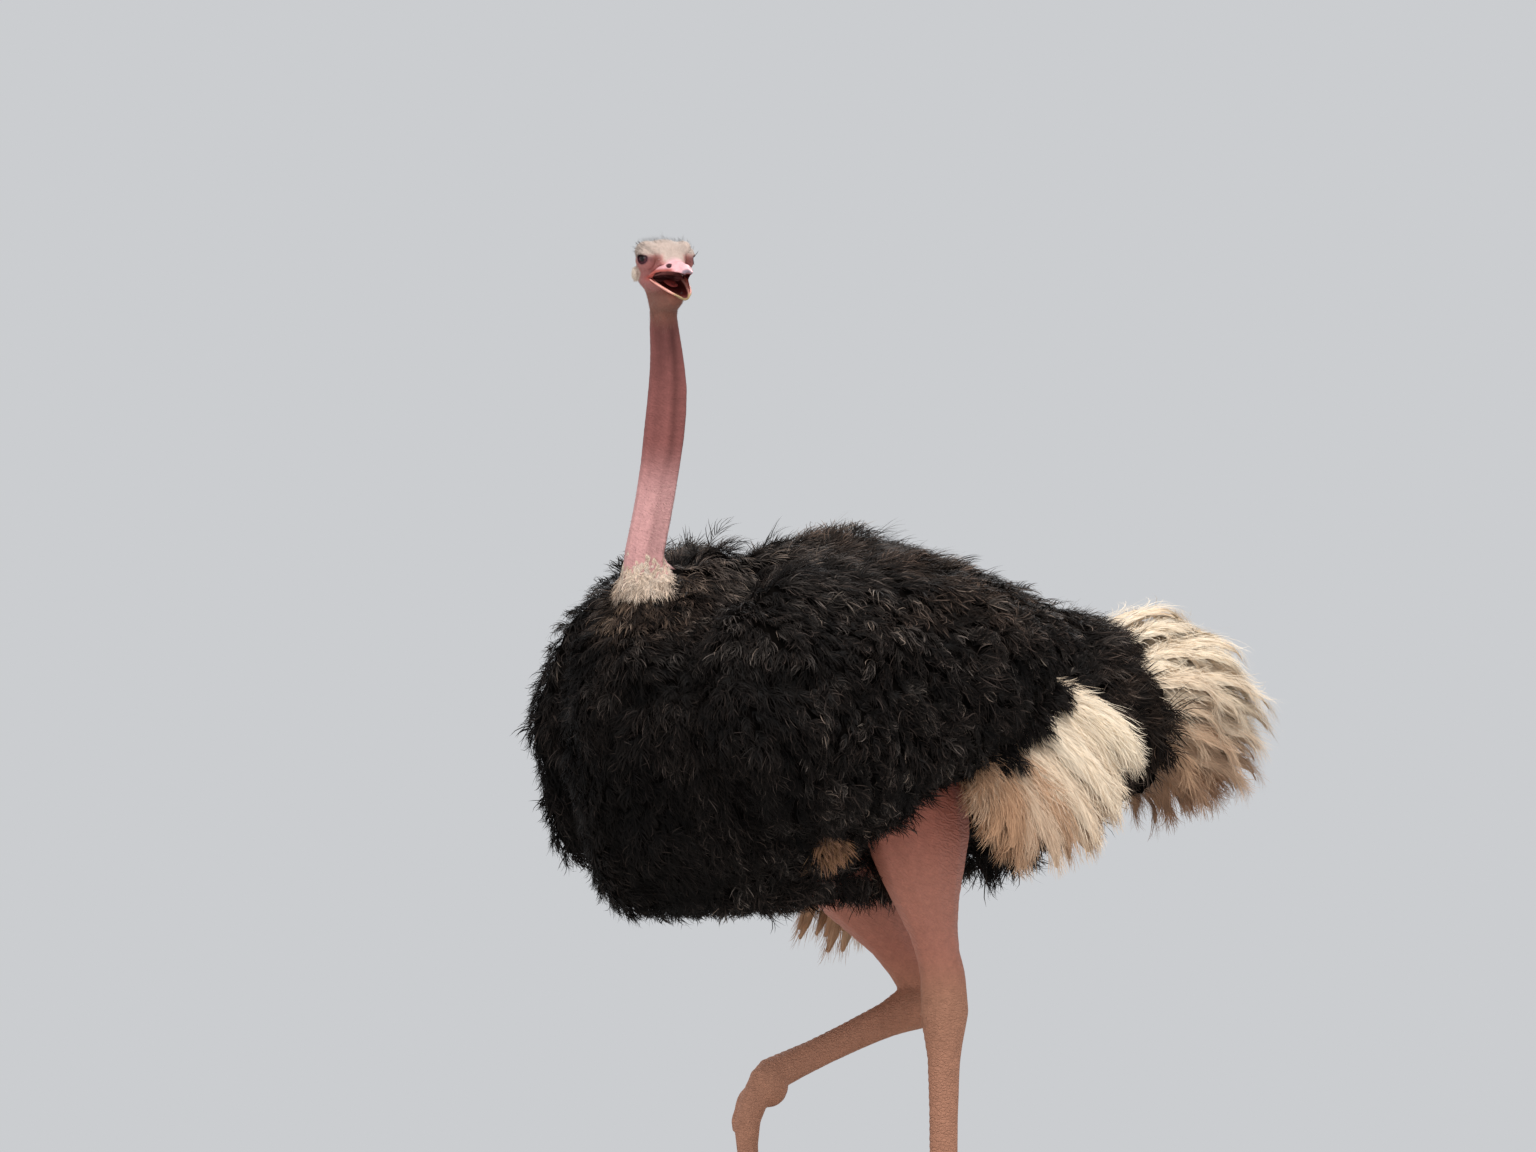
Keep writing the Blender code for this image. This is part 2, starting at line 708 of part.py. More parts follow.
CALF = {  # share of the way from hock to knee: half depth, half width, how far it bulges back
    0.10: (0.050, 0.040, 0.010),
    0.22: (0.048, 0.038, 0.013),
    0.35: (0.058, 0.046, 0.018),
    0.50: (0.082, 0.062, 0.022),
    0.66: (0.108, 0.080, 0.034),
    0.82: (0.122, 0.092, 0.042),
    1.00: (0.118, 0.096, 0.036),
}
SHANK = {  # share of the way from hock to toe joint: half depth, half width
    0.00: (0.050, 0.044),
    0.07: (0.051, 0.043),
    0.15: (0.044, 0.036),
    0.28: (0.036, 0.027),
    0.50: (0.032, 0.024),
    0.72: (0.031, 0.025),
    0.88: (0.034, 0.031),
    0.97: (0.036, 0.036),
}
HOCK_LENGTH = 0.10  # how much of the way to the knee belongs to the hock
HOCK_GIRTH = (0.043, 0.050), (0.040, 0.050)  # half width and half depth, at the hock and above it


def leg_points(side):
    leg = LEGS[side]
    return Vector(leg["knee"]), Vector(leg["hock"]), Vector(leg["toe_joint"])


def make_thigh(side):
    """The drumstick, from the knee inside the plumage down to the hock."""
    knee, hock, _ = leg_points(side)
    rows = []
    for share, (deep, wide, back) in CALF.items():
        at = hock.lerp(knee, share) + Vector((0, back, 0))
        rows.append((*at, wide, deep))
    bm = bmesh.new()
    loft(bm, rows, rings=8, segments=11, side=(1, 0, 0), dome=0.5)
    return add_piece("thigh_" + side, bm, bare_skin())


def make_shank(side):
    """The hock and the scaled shank down to the toe joint."""
    knee, hock, toe_joint = leg_points(side)
    rows = [(*hock.lerp(toe_joint, s), wide, deep) for s, (deep, wide) in SHANK.items()]
    bm = bmesh.new()
    loft(bm, rows, rings=22, segments=20, side=(1, 0, 0), dome=0.8)
    above = hock.lerp(knee, HOCK_LENGTH) + Vector((0, 0.010, 0))
    upper = [(*at, *girth) for at, girth in zip((hock, above), HOCK_GIRTH)]
    loft(bm, upper, rings=5, segments=20, side=(1, 0, 0), dome=0.8)
    return melted("shank_" + side, bm, leg_scales(), voxel=0.005, faces=280)


TOE_WIDTH = 0.031  # half width of the main toe at its root
TOES = {  # for each foot: toe joint down and out along each toe, as offsets from the toe joint
    "left": {
        "inner": ((0, -0.012, -0.022), (-0.002, -0.085, -0.034), (-0.004, -0.175, -0.046)),
        "outer": ((0.018, -0.008, -0.024), (0.050, -0.055, -0.040), (0.075, -0.105, -0.047)),
    },
    "right": {
        "inner": ((0, -0.014, -0.022), (0.000, -0.044, -0.095), (0.002, -0.040, -0.180)),
        "outer": ((-0.020, -0.006, -0.020), (-0.046, -0.022, -0.062), (-0.060, -0.022, -0.108)),
    },
}
TOE_ROOT = {"inner": 1.0, "outer": 0.72}  # each toe's girth against the main toe's
TOE_FACES = {"inner": 140, "outer": 96}
PAD_OFFSET = Vector((0.004, 0.006, -0.014))  # the toe joint's pad, from the joint
PAD_RADII = (0.041, 0.043, 0.046)
CLAW_LENGTH = {"inner": 0.052, "outer": 0.016}
CLAW_CURL = {"left": Vector((0, 0, -0.004)), "right": Vector((0, 0.010, -0.004))}


def toe_rows(side, toe):
    joint = Vector(LEGS[side]["toe_joint"])
    girth = TOE_WIDTH * TOE_ROOT[toe]
    rows = []
    shares = (1.05, 0.95, 0.70)
    for offset, share in zip(TOES[side][toe], shares):
        rows.append((*(joint + Vector(offset)), girth * share, girth * share * 0.82))
    return rows


def flatten_sole(piece, side):
    """The planted foot presses flat on the base."""
    if side == "left":
        for v in piece.data.vertices:
            v.co.z = max(v.co.z, SOLE)


def make_foot(side):
    """The toe joint's pad with the inner toe, and the outer toe beside it."""
    joint = Vector(LEGS[side]["toe_joint"])
    pieces = {}
    for toe in ("inner", "outer"):
        bm = bmesh.new()
        rows = through(toe_rows(side, toe), 5)
        loft(bm, rows, rings=14, segments=14, side=(1, 0, 0), dome=0.8)
        for v in bm.verts:  # pads swell under each joint of the toe
            swell = 1 + 0.06 * math.sin((v.co - joint).length * 120)
            v.co.x = joint.x + (v.co.x - joint.x) * swell
        name = f"toe_{toe}_{side}"
        pieces[toe] = melted(name, bm, leg_scales(), voxel=0.003, faces=TOE_FACES[toe], smoothing=1)
    bm = bmesh.new()
    pad = Matrix.Translation(joint + PAD_OFFSET) @ Matrix.Diagonal((*PAD_RADII, 1))
    bmesh.ops.create_uvsphere(bm, u_segments=10, v_segments=7, radius=1.0, matrix=pad)
    pieces["pad"] = add_piece("foot_" + side, bm, leg_scales())
    for piece in pieces.values():
        flatten_sole(piece, side)
    return pieces


def make_claw(side, toe):
    """A blunt nail that runs on from the toe's tip."""
    rows = toe_rows(side, toe)
    tip = Vector(rows[-1][:3])
    along = (tip - Vector(rows[-2][:3])).normalized()
    length = CLAW_LENGTH[toe]
    girth = rows[-1][3]
    curl = CLAW_CURL[side]
    start = tip - along * 0.004
    spine = (
        (*start, girth * 0.72, girth * 0.52),
        (*(start + along * (length * 0.5 + girth * 0.4) + curl * 0.3), girth * 0.58, girth * 0.44),
        (*(start + along * (length + girth * 0.6) + curl), girth * 0.20, girth * 0.16),
    )
    bm = bmesh.new()
    loft(bm, spine, rings=4, segments=8, side=(1, 0, 0), dome=1.0, dome_rings=1)
    for v in bm.verts:
        if side == "left":
            v.co.z = max(v.co.z, SOLE + 0.0006)
    return add_piece(f"claw_{toe}_{side}", bm, claw_horn())


def make_legs():
    for side in SIDES:
        thigh, shank = make_thigh(side), make_shank(side)
        foot = make_foot(side)
        carve(thigh, shank)
        carve(shank, foot["pad"])
        carve(foot["inner"], foot["pad"], shank)
        carve(foot["outer"], foot["pad"], shank, foot["inner"])
        for toe in ("inner", "outer"):
            carve(make_claw(side, toe), foot[toe])


def make_plumage():
    """The feathered masses, each carved where its neighbours lie."""
    thighs = [bpy.data.objects["thigh_" + side] for side in SIDES]
    neck = bpy.data.objects["neck_lower"]
    trunk = carve(make_trunk(), neck, *thighs)
    rump = carve(make_rump(), trunk, gap=FEATHER_GAP)
    tail = carve(make_tail(), rump, trunk, gap=FEATHER_GAP)
    for k, side in enumerate(SIDES):
        wing = carve(make_wing(side), trunk, thighs[k], gap=FEATHER_GAP)
        carve(make_wing_plumes(side), trunk, wing, thighs[k], rump, tail, gap=FEATHER_GAP)


def make_head_pieces(neck_top):
    head = make_head(neck_top)
    upper = make_bill("bill_upper", head_frame(), UPPER_BILL, 1)
    lower = make_bill("bill_lower", jaw_frame(), LOWER_BILL, -1)
    tongue = make_tongue()
    mouth = make_mouth_room()
    eyes = [make_eye(side) for side in SIDES]
    ears = [make_ear(side) for side in SIDES]
    carve(lower, tongue)
    carve(head, mouth, upper, lower, tongue, *eyes)
    for ear in ears:
        carve(ear, head)


def main():
    clear_scene()
    make_base()
    neck = make_neck()
    make_head_pieces(neck[-1])
    make_legs()
    make_plumage()


main()
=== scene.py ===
import math

import bmesh
import bpy
import numpy as np
from mathutils import Matrix, Vector, noise
from mathutils.bvhtree import BVHTree


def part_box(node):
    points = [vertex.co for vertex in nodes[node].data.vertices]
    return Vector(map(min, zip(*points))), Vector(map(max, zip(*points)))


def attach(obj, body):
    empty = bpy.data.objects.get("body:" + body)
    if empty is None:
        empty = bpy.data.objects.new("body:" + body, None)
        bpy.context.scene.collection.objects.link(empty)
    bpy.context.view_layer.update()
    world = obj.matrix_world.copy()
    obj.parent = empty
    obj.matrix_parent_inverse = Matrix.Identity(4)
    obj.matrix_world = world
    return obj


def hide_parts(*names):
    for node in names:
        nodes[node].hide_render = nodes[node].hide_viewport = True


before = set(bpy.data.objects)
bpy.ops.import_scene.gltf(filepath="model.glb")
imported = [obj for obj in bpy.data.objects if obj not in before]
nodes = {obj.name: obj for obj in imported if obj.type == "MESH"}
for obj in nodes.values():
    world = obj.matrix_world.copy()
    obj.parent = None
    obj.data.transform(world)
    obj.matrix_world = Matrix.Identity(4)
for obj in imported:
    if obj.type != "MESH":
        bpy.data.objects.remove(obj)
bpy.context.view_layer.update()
rng = np.random.default_rng(7)
upward = np.array([0.0, 0.0, 1.0])
sides = {"left": 1, "right": -1}


def paint(red, green, blue):  # a screen colour, 0 to 255, as the linear one that shaders take
    share = np.array([red, green, blue]) / 255
    return np.where(share < 0.04045, share / 12.92, ((share + 0.055) / 1.055) ** 2.4)


plumageColours = {
    "black": paint(18, 14, 12),
    "glint": paint(72, 66, 62),
    "brown": paint(66, 53, 45),
    "straw": paint(122, 100, 82),
    "cream": paint(246, 230, 206),
    "buff": paint(214, 178, 144),
    "tan": paint(184, 138, 102),
    # painted shade under the tail
    "umberShade": paint(142, 98, 70),
    "down": paint(222, 206, 190),
    "crownDown": paint(192, 176, 166),
}

skinColours = {
    "neckLow": paint(192, 144, 142),
    # the upper neck's darker skin together with the head's painted shadow
    "neckTopShadowed": paint(132, 82, 78),
    "crown": paint(176, 158, 148),
    "face": paint(176, 116, 112),
    "billRoot": paint(222, 176, 184),
    "lores": paint(128, 80, 74),
    # dark lid skin, deepened with painted shade from the heavy brow
    "lid": paint(66, 36, 48),
    "throat": paint(146, 98, 84),
    "gape": paint(186, 92, 82),
    "mouth": paint(78, 26, 24),
    # the thigh's top with the wing's painted shadow
    "thighTopShadowed": paint(160, 92, 76),
    "thighLow": paint(188, 124, 106),
    "shank": paint(188, 136, 112),
    "foot": paint(134, 108, 96),
    "under": paint(12, 10, 9),
}


def newMaterial(name, roughness, specular=0.5):
    made = bpy.data.materials.new(name)
    made.use_nodes = True
    shader = made.node_tree.nodes["Principled BSDF"]
    shader.inputs["Roughness"].default_value = roughness
    shader.inputs["Specular IOR Level"].default_value = specular
    return made, shader


def addNode(material, kind, **values):
    node = material.node_tree.nodes.new(kind)
    for key, value in values.items():
        if hasattr(node, key):
            setattr(node, key, value)
        else:
            node.inputs[key.replace("_", " ")].default_value = value
    return node


def join(material, source, target):
    material.node_tree.links.new(source, target)


def tintOf(material, name="tint"):  # the colour that the mesh carries at each point
    found = addNode(material, "ShaderNodeAttribute", attribute_type="GEOMETRY", attribute_name=name)
    return found.outputs["Color"]


def stretched(material, x, y, z, source=None):  # coordinates drawn out along an axis
    mapping = addNode(material, "ShaderNodeMapping")
    mapping.inputs["Scale"].default_value = (x, y, z)
    place = source or addNode(material, "ShaderNodeTexCoord").outputs["Object"]
    join(material, place, mapping.inputs["Vector"])
    return mapping.outputs["Vector"]


def grainNode(material, vector, **values):
    grain = addNode(material, "ShaderNodeTexNoise", **values)
    join(material, vector, grain.inputs["Vector"])
    return grain.outputs["Fac"]


def mottled(material, colour, grain, strength):  # the colour, lighter and darker with the grain
    spread = addNode(material, "ShaderNodeMapRange", From_Min=0.3, From_Max=0.7,
                     To_Min=1 - strength, To_Max=1 + strength)
    join(material, grain, spread.inputs["Value"])
    scaled = addNode(material, "ShaderNodeVectorMath", operation="SCALE")
    join(material, colour, scaled.inputs[0])
    join(material, spread.outputs["Result"], scaled.inputs["Scale"])
    return scaled.outputs["Vector"]


def bumped(material, height, strength, distance, below=None):
    bump = addNode(material, "ShaderNodeBump", Strength=strength, Distance=distance)
    join(material, height, bump.inputs["Height"])
    if below:
        join(material, below, bump.inputs["Normal"])
    return bump.outputs["Normal"]


def product(material, one, two):
    node = addNode(material, "ShaderNodeMath", operation="MULTIPLY")
    join(material, one, node.inputs[0])
    join(material, two, node.inputs[1])
    return node.outputs["Value"]


def skinMaterial():
    made, shader = newMaterial("bareSkin", 0.55, 0.32)
    blotches = grainNode(made, stretched(made, 1, 1, 1), Scale=55.0, Detail=6.0, Roughness=0.6)
    specks = grainNode(made, stretched(made, 1, 1, 1), Scale=240.0, Detail=3.0)
    colour = mottled(made, mottled(made, tintOf(made), blotches, 0.10), specks, 0.07)
    join(made, colour, shader.inputs["Base Color"])
    masks = addNode(made, "ShaderNodeSeparateColor")
    join(made, tintOf(made, "relief"), masks.inputs["Color"])
    gloss = addNode(made, "ShaderNodeMapRange", To_Max=0.32)
    join(made, masks.outputs["Green"], gloss.inputs["Value"])
    join(made, gloss.outputs["Result"], shader.inputs["Specular IOR Level"])
    pores = addNode(made, "ShaderNodeTexVoronoi", Scale=330.0)
    join(made, stretched(made, 1, 1, 1), pores.inputs["Vector"])
    creases = addNode(made, "ShaderNodeTexWave", bands_direction="DIAGONAL", Scale=34.0, Distortion=9.0,
                      Detail=3.0, Detail_Scale=1.4)
    join(made, stretched(made, 1, 1, 1.8), creases.inputs["Vector"])
    wrinkles = creases.outputs["Fac"]
    scales = addNode(made, "ShaderNodeTexVoronoi", feature="DISTANCE_TO_EDGE", Scale=105.0)
    join(made, stretched(made, 1, 1, 1.5), scales.inputs["Vector"])
    plate = addNode(made, "ShaderNodeMath", operation="MINIMUM")
    join(made, scales.outputs["Distance"], plate.inputs[0])
    plate.inputs[1].default_value = 0.22
    surface = None
    for height, mask, strength, distance in ((pores.outputs["Distance"], "Red", 0.35, 0.0012),
                                             (wrinkles, "Green", 0.5, 0.0022),
                                             (plate.outputs["Value"], "Blue", 0.9, 0.006)):
        surface = bumped(made, product(made, height, masks.outputs[mask]), strength, distance, surface)
    join(made, surface, shader.inputs["Normal"])
    return made


def featherMaterial(name, roughness, specular, sheen):
    made, shader = newMaterial(name, roughness, specular)
    join(made, tintOf(made), shader.inputs["Base Color"])
    shader.inputs["Sheen Weight"].default_value = sheen
    shader.inputs["Sheen Roughness"].default_value = 0.5
    return made


def vaneMaterial():  # silky plumes, with fine lines along them
    made, shader = newMaterial("silkyVane", 0.7, 0.2)
    lines = grainNode(made, stretched(made, 40, 560, 1, tintOf(made, "grain")), Scale=1.0, Detail=3.0)
    locks = grainNode(made, stretched(made, 14, 120, 1, tintOf(made, "grain")), Scale=1.0, Detail=3.0)
    colour = mottled(made, mottled(made, tintOf(made), lines, 0.16), locks, 0.18)
    join(made, colour, shader.inputs["Base Color"])
    join(made, bumped(made, locks, 0.6, 0.006, bumped(made, lines, 0.5, 0.0015)), shader.inputs["Normal"])
    shader.inputs["Sheen Weight"].default_value = 0.15
    return made


def hornMaterial(name, roughness, scale):
    made, shader = newMaterial(name, roughness, 0.28)
    join(made, mottled(made, tintOf(made), grainNode(made, stretched(made, 1, 1, 1), Scale=scale), 0.12),
         shader.inputs["Base Color"])
    grain = grainNode(made, stretched(made, 1, 1, 3), Scale=scale * 3, Detail=3.0)
    join(made, bumped(made, grain, 0.25, 0.0015), shader.inputs["Normal"])
    return made


def eyeMaterial():
    made, shader = newMaterial("eyeGloss", 0.06, 0.3)
    join(made, tintOf(made), shader.inputs["Base Color"])
    return made


def grainedMaterial(name, roughness, scale, stretch, dark, light, bump):  # two tones, and a bump to match
    made, shader = newMaterial(name, roughness, 0.4)
    grain = grainNode(made, stretched(made, *stretch), Scale=scale, Detail=5.0)
    tones = addNode(made, "ShaderNodeValToRGB")
    tones.color_ramp.elements[0].color = (*dark, 1)
    tones.color_ramp.elements[1].color = (*light, 1)
    join(made, grain, tones.inputs["Fac"])
    join(made, tones.outputs["Color"], shader.inputs["Base Color"])
    join(made, bumped(made, grain, 0.3, bump), shader.inputs["Normal"])
    return made


studio = {
    "aim": Vector((-0.108, -0.154, 1.412)),
    "toCamera": Vector((0.8192, -0.5736, 0.0)),
    "distance": 90.0,
    "width": 3.149,  # metres that the camera takes in across, at the bird
    "backdrop": paint(203, 205, 208),
    "floor": paint(190, 189, 187),
    "floorRadius": 7.0,
    "lightsAim": Vector((0, 0, 1.2)),
    "lights": {  # place, size, power and colour
        "keyLight": ((3.0, -1.6, 6.8), 2.4, 400, (1.0, 0.985, 0.96)),
        "fillLight": ((0.6, -6.0, 2.6), 3.0, 45, (1, 1, 1)),
        "rimLight": ((-3.6, 3.4, 4.2), 2.6, 110, (1, 1, 1)),
    },
}


def makeCamera():
    data = bpy.data.cameras.new("camera")
    data.sensor_width = 36
    data.lens = data.sensor_width * studio["distance"] / studio["width"]
    data.clip_end = 700
    camera = bpy.data.objects.new("camera", data)
    camera.location = studio["aim"] + studio["toCamera"] * studio["distance"]
    camera.rotation_euler = studio["toCamera"].to_track_quat("Z", "Y").to_euler()
    bpy.context.scene.collection.objects.link(camera)
    bpy.context.scene.camera = camera


def makeStudio():
    makeCamera()
    for name, (place, size, power, colour) in studio["lights"].items():
        data = bpy.data.lights.new(name, "AREA")
        data.shape = "DISK"
        data.size = size
        data.energy = power
        data.color = colour
        light = bpy.data.objects.new(name, data)
        light.location = place
        light.rotation_euler = (Vector(place) - studio["lightsAim"]).to_track_quat("Z", "Y").to_euler()
        bpy.context.scene.collection.objects.link(light)
    world = bpy.data.worlds.new("studioAir")
    world.use_nodes = True
    air = world.node_tree.nodes["Background"]
    air.inputs["Color"].default_value = (*studio["backdrop"], 1)
    air.inputs["Strength"].default_value = 1.0
    bpy.context.scene.world = world
    bpy.context.scene.view_settings.view_transform = "Standard"
    bm = bmesh.new()
    bmesh.ops.create_circle(bm, cap_ends=True, radius=studio["floorRadius"], segments=96)
    paleFloor, shader = newMaterial("paleFloor", 0.85, 0.2)
    shader.inputs["Base Color"].default_value = (*studio["floor"], 1)
    objectFrom(bm, "floor", paleFloor)


def objectFrom(bm, name, material=None):
    mesh = bpy.data.meshes.new(name)
    bm.to_mesh(mesh)
    bm.free()
    mesh.shade_smooth()
    made = bpy.data.objects.new(name, mesh)
    bpy.context.scene.collection.objects.link(made)
    if material:
        mesh.materials.append(material)
    return made


def flesh(names, swell=0.0):  # copies of the frame's nodes, closed, and swollen so that neighbours meet
    bm = bmesh.new()
    for name in names:
        bm.from_mesh(nodes[name].data)
    bmesh.ops.remove_doubles(bm, verts=bm.verts, dist=0.00002)
    bmesh.ops.recalc_face_normals(bm, faces=bm.faces)
    bm.normal_update()
    for vert in bm.verts:
        vert.co += vert.normal * swell
    return bm


def applied(piece):  # the modifiers made part of the mesh
    graph = bpy.context.evaluated_depsgraph_get()
    mesh = bpy.data.meshes.new_from_object(piece.evaluated_get(graph))
    old = piece.data
    piece.modifiers.clear()
    piece.data = mesh
    bpy.data.meshes.remove(old)
    piece.data.shade_smooth()
    return piece


def recelled(piece, voxel):  # the piece as one closed surface without folds
    cells = piece.modifiers.new("cells", "REMESH")
    cells.mode = "VOXEL"
    cells.voxel_size = voxel
    return applied(piece)


def remeshed(bm, name, voxel):
    return recelled(objectFrom(bm, name), voxel)


def united(piece, *others):
    for other in others:
        weld = piece.modifiers.new("weld", "BOOLEAN")
        weld.operation = "UNION"
        weld.solver = "EXACT"
        weld.object = other
        applied(piece)
        bpy.data.objects.remove(other)


def unwrapped(piece):  # an unwrap of the piece's own shape
    bpy.context.view_layer.objects.active = piece
    bpy.ops.object.select_all(action="DESELECT")
    piece.select_set(True)
    bpy.ops.object.mode_set(mode="EDIT")
    bpy.ops.mesh.select_all(action="SELECT")
    bpy.ops.uv.smart_project(angle_limit=1.15, island_margin=0.004)
    bpy.ops.object.mode_set(mode="OBJECT")
    return piece


def finishPiece(piece, material, slot, *replaced):
    piece.data.materials.clear()
    piece.data.materials.append(material)
    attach(piece, "root")
    if replaced:
        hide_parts(*replaced)


def pointsOf(mesh):
    flat = np.empty(len(mesh.vertices) * 3)
    mesh.vertices.foreach_get("co", flat)
    return flat.reshape(-1, 3)


def normalsOf(mesh):
    flat = np.empty(len(mesh.vertices) * 3)
    mesh.vertex_normals.foreach_get("vector", flat)
    return flat.reshape(-1, 3)


def setPoints(mesh, points):
    mesh.vertices.foreach_set("co", points.reshape(-1))
    mesh.update()


def setColours(mesh, name, colours):  # one colour to each vertex
    layer = mesh.attributes.new(name, "FLOAT_COLOR", "POINT")
    full = np.ones((len(colours), 4))
    full[:, :3] = colours
    layer.data.foreach_set("color", full.reshape(-1))


def eased(mesh, values, times, share=1.0, factor=0.5):  # each vertex's values drawn towards its neighbours'
    ends = np.empty(len(mesh.edges) * 2, dtype=np.int64)
    mesh.edges.foreach_get("vertices", ends)
    ends = ends.reshape(-1, 2)
    share = np.broadcast_to(share, len(values))[:, None]
    count = np.bincount(ends.reshape(-1), minlength=len(values))[:, None]
    for _ in range(times):
        total = np.zeros_like(values)
        for axis in range(3):
            total[:, axis] += np.bincount(ends[:, 0], values[ends[:, 1], axis], len(values))
            total[:, axis] += np.bincount(ends[:, 1], values[ends[:, 0], axis], len(values))
        values = values + (total / np.maximum(count, 1) - values) * factor * share
    return values


def relax(mesh, times, share=1.0, factor=0.5):  # share: how much of the smoothing each vertex takes
    setPoints(mesh, eased(mesh, pointsOf(mesh), times, share, factor))


def ramp(value, start, end):  # 0 at start, 1 at end, smooth between, either way round
    t = np.clip((np.asarray(value) - start) / (end - start), 0, 1)
    return t * t * (3 - 2 * t)


def nearness(points, place, reach):  # 1 at a place, falling smoothly to 0 at its reach
    gap = np.linalg.norm((points - np.asarray(place)) / np.asarray(reach), axis=1)
    return 1 - ramp(gap, 0.0, 1.0)


def mounds(points, scale, offset):  # rounded swells from 0 to 1, with narrow creases between them
    return np.clip(2.6 * np.abs(waves(points, scale, offset)), 0, 1)


def hump(value, middle, width):  # 1 at the middle, falling off smoothly on both sides
    return np.exp(-((value - middle) / width) ** 2)


def blended(colours, wanted, share):
    return colours + (wanted - colours) * np.asarray(share)[:, None]


def unit(vectors):
    return vectors / np.maximum(np.linalg.norm(vectors, axis=-1, keepdims=True), 1e-9)


def waves(points, scale, offset=0.0):  # smooth noise from -1 to 1 at each point
    shift = Vector((offset, offset * 1.7, offset * 0.6))
    return np.array([noise.noise(Vector(p) * scale + shift) for p in points])


def onSurface(ways, normals):  # directions laid flat on the surface
    return unit(ways - normals * np.sum(ways * normals, axis=1, keepdims=True))


def alongLine(rows, t):  # points at shares t of a line through the rows
    rows = np.array(rows)
    at = np.asarray(t) * (len(rows) - 1)
    return np.stack([np.interp(at, np.arange(len(rows)), rows[:, k]) for k in range(rows.shape[1])], axis=1)


headPose = {"turn": 80, "raise": 2, "jaw": 25, "hinge": (-0.012, 0.0, -0.034), "eye": (0.004, 0, -0.002)}


def boxCentre(name):
    low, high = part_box(name)
    return (low + high) / 2


def headMatrix():  # X forward along the bill, Y to the bird's left, Z up, from between the eyes
    turn = Matrix.Rotation(math.radians(headPose["turn"] - 90), 4, "Z")
    local = turn @ Matrix.Rotation(-math.radians(headPose["raise"]), 4, "Y")
    middle = (boxCentre("eye_left") + boxCentre("eye_right")) / 2
    return Matrix.Translation(middle - local @ Vector(headPose["eye"])) @ local


def jawMatrix():
    hinge = Matrix.Translation(headPose["hinge"])
    return headMatrix() @ hinge @ Matrix.Rotation(math.radians(headPose["jaw"]), 4, "Y") @ hinge.inverted()


def localTo(matrix, points):
    back = np.array(matrix.inverted())
    return points @ back[:3, :3].T + back[:3, 3]


def worldFrom(matrix, points):
    there = np.array(matrix)
    return points @ there[:3, :3].T + there[:3, 3]


eyeLook = {
    "axis": (0.42, 1.0, -0.05),  # the way the left eye looks, in the head's coordinates
    "wide": 27,  # half the opening, in degrees round the eyeball
    "below": 20,
    "above": 9,  # the upper lid's edge is straight
    "lidRim": 80,  # how far round the ball the lids go
    "lidAt": 0.0250,  # from the ball's centre
    "lidThick": 0.0014,
    "irisEdge": 33,  # degrees off the eye's axis, as is the pupil's
    "pupilEdge": 18,
    "cornea": (0.0007, 0.60),  # how far it stands out, and how wide it is, in radians off the axis
    "iris": paint(84, 40, 50),
    "irisLight": paint(112, 62, 60),
    "white": paint(34, 22, 22),
    "pupil": paint(20, 9, 13),
}


def eyeFrame(side):  # the eye's centre, and the ways outward, towards the bill and up
    forward, outward, up = eyeLook["axis"]
    turned = headMatrix().to_3x3()
    axis = (turned @ Vector((forward, outward * sides[side], up))).normalized()
    ahead = (axis.cross(turned @ Vector((0, 0, 1))) * sides[side]).normalized()
    return boxCentre("eye_" + side), axis, ahead, ahead.cross(axis) * sides[side]


def eyeAngles(points, side):
    # distance from the eye's centre, degrees off its axis and degrees off the lid's edge
    centre, axis, ahead, up = (np.array(v) for v in eyeFrame(side))
    reach = np.linalg.norm(points - centre, axis=1)
    ways = (points - centre) / np.maximum(reach, 1e-6)[:, None]
    angle = np.arccos(np.clip(ways @ axis, -1, 1))
    edge = angle - lidOpening(np.arctan2(ways @ up, ways @ ahead))
    return reach, np.degrees(angle), np.degrees(edge)


def lidOpening(turn):  # radians from the eye's axis to the lid's edge; a turn of 0 is towards the bill
    wide, below, above = (math.radians(eyeLook[key]) for key in ("wide", "below", "above"))
    over = np.sin(turn) > 0
    oval = 1 / np.hypot(np.cos(turn) / wide, np.sin(turn) / np.where(over, above * 1.6, below))
    straight = np.arcsin(np.minimum(1, math.sin(above) / np.maximum(np.sin(turn), 0.01)))
    return np.where(over, np.minimum(oval, straight), oval)


neckLook = {
    "line": (  # height, and the x and y of the neck's middle there
        (1.19, 0, -0.430), (1.27, 0, -0.500), (1.35, 0, -0.538), (1.44, 0, -0.540), (1.53, 0, -0.520),
        (1.62, 0, -0.500), (1.71, 0, -0.486), (1.79, 0.002, -0.480), (1.85, 0.006, -0.484),
        (1.90, 0.010, -0.492), (1.95, 0.014, -0.500), (2.00, 0.018, -0.503)),
    "foot": 1.325,  # where the fine neck goes into the body
    "ridges": 0.0022,
    "rings": 0.0002,
    "groove": (-8, 13, 0.0026),  # the long furrow: its turn round the neck, its width in degrees, its depth
}


def fromNeck(points):  # distance from the neck's middle, and the turn round it
    line = np.array(neckLook["line"])
    off = [points[:, k] - np.interp(points[:, 2], line[:, 0], line[:, k + 1]) for k in (0, 1)]
    return np.hypot(*off), np.arctan2(off[1], off[0])


def neckCords(points):  # cords under the skin, from about -1 to 1, one long furrow, and how both wander
    height, around = points[:, 2], fromNeck(points)[1]
    wander = np.array([noise.noise(Vector((0.0, 0.0, z * 5.0))) for z in height])
    cords = np.cos(3 * around + 2.0 * wander + 3.2 * height) + 0.6 * np.cos(5 * around - 2.6 * height + 1.3)
    middle, width, _ = neckLook["groove"]
    off = (np.degrees(around) - middle - 12 * wander + 180) % 360 - 180
    furrow = hump(off, 0, width) * ramp(height, 1.58, 1.68) * ramp(height, 1.96, 1.90)
    return cords / 1.6, furrow, wander


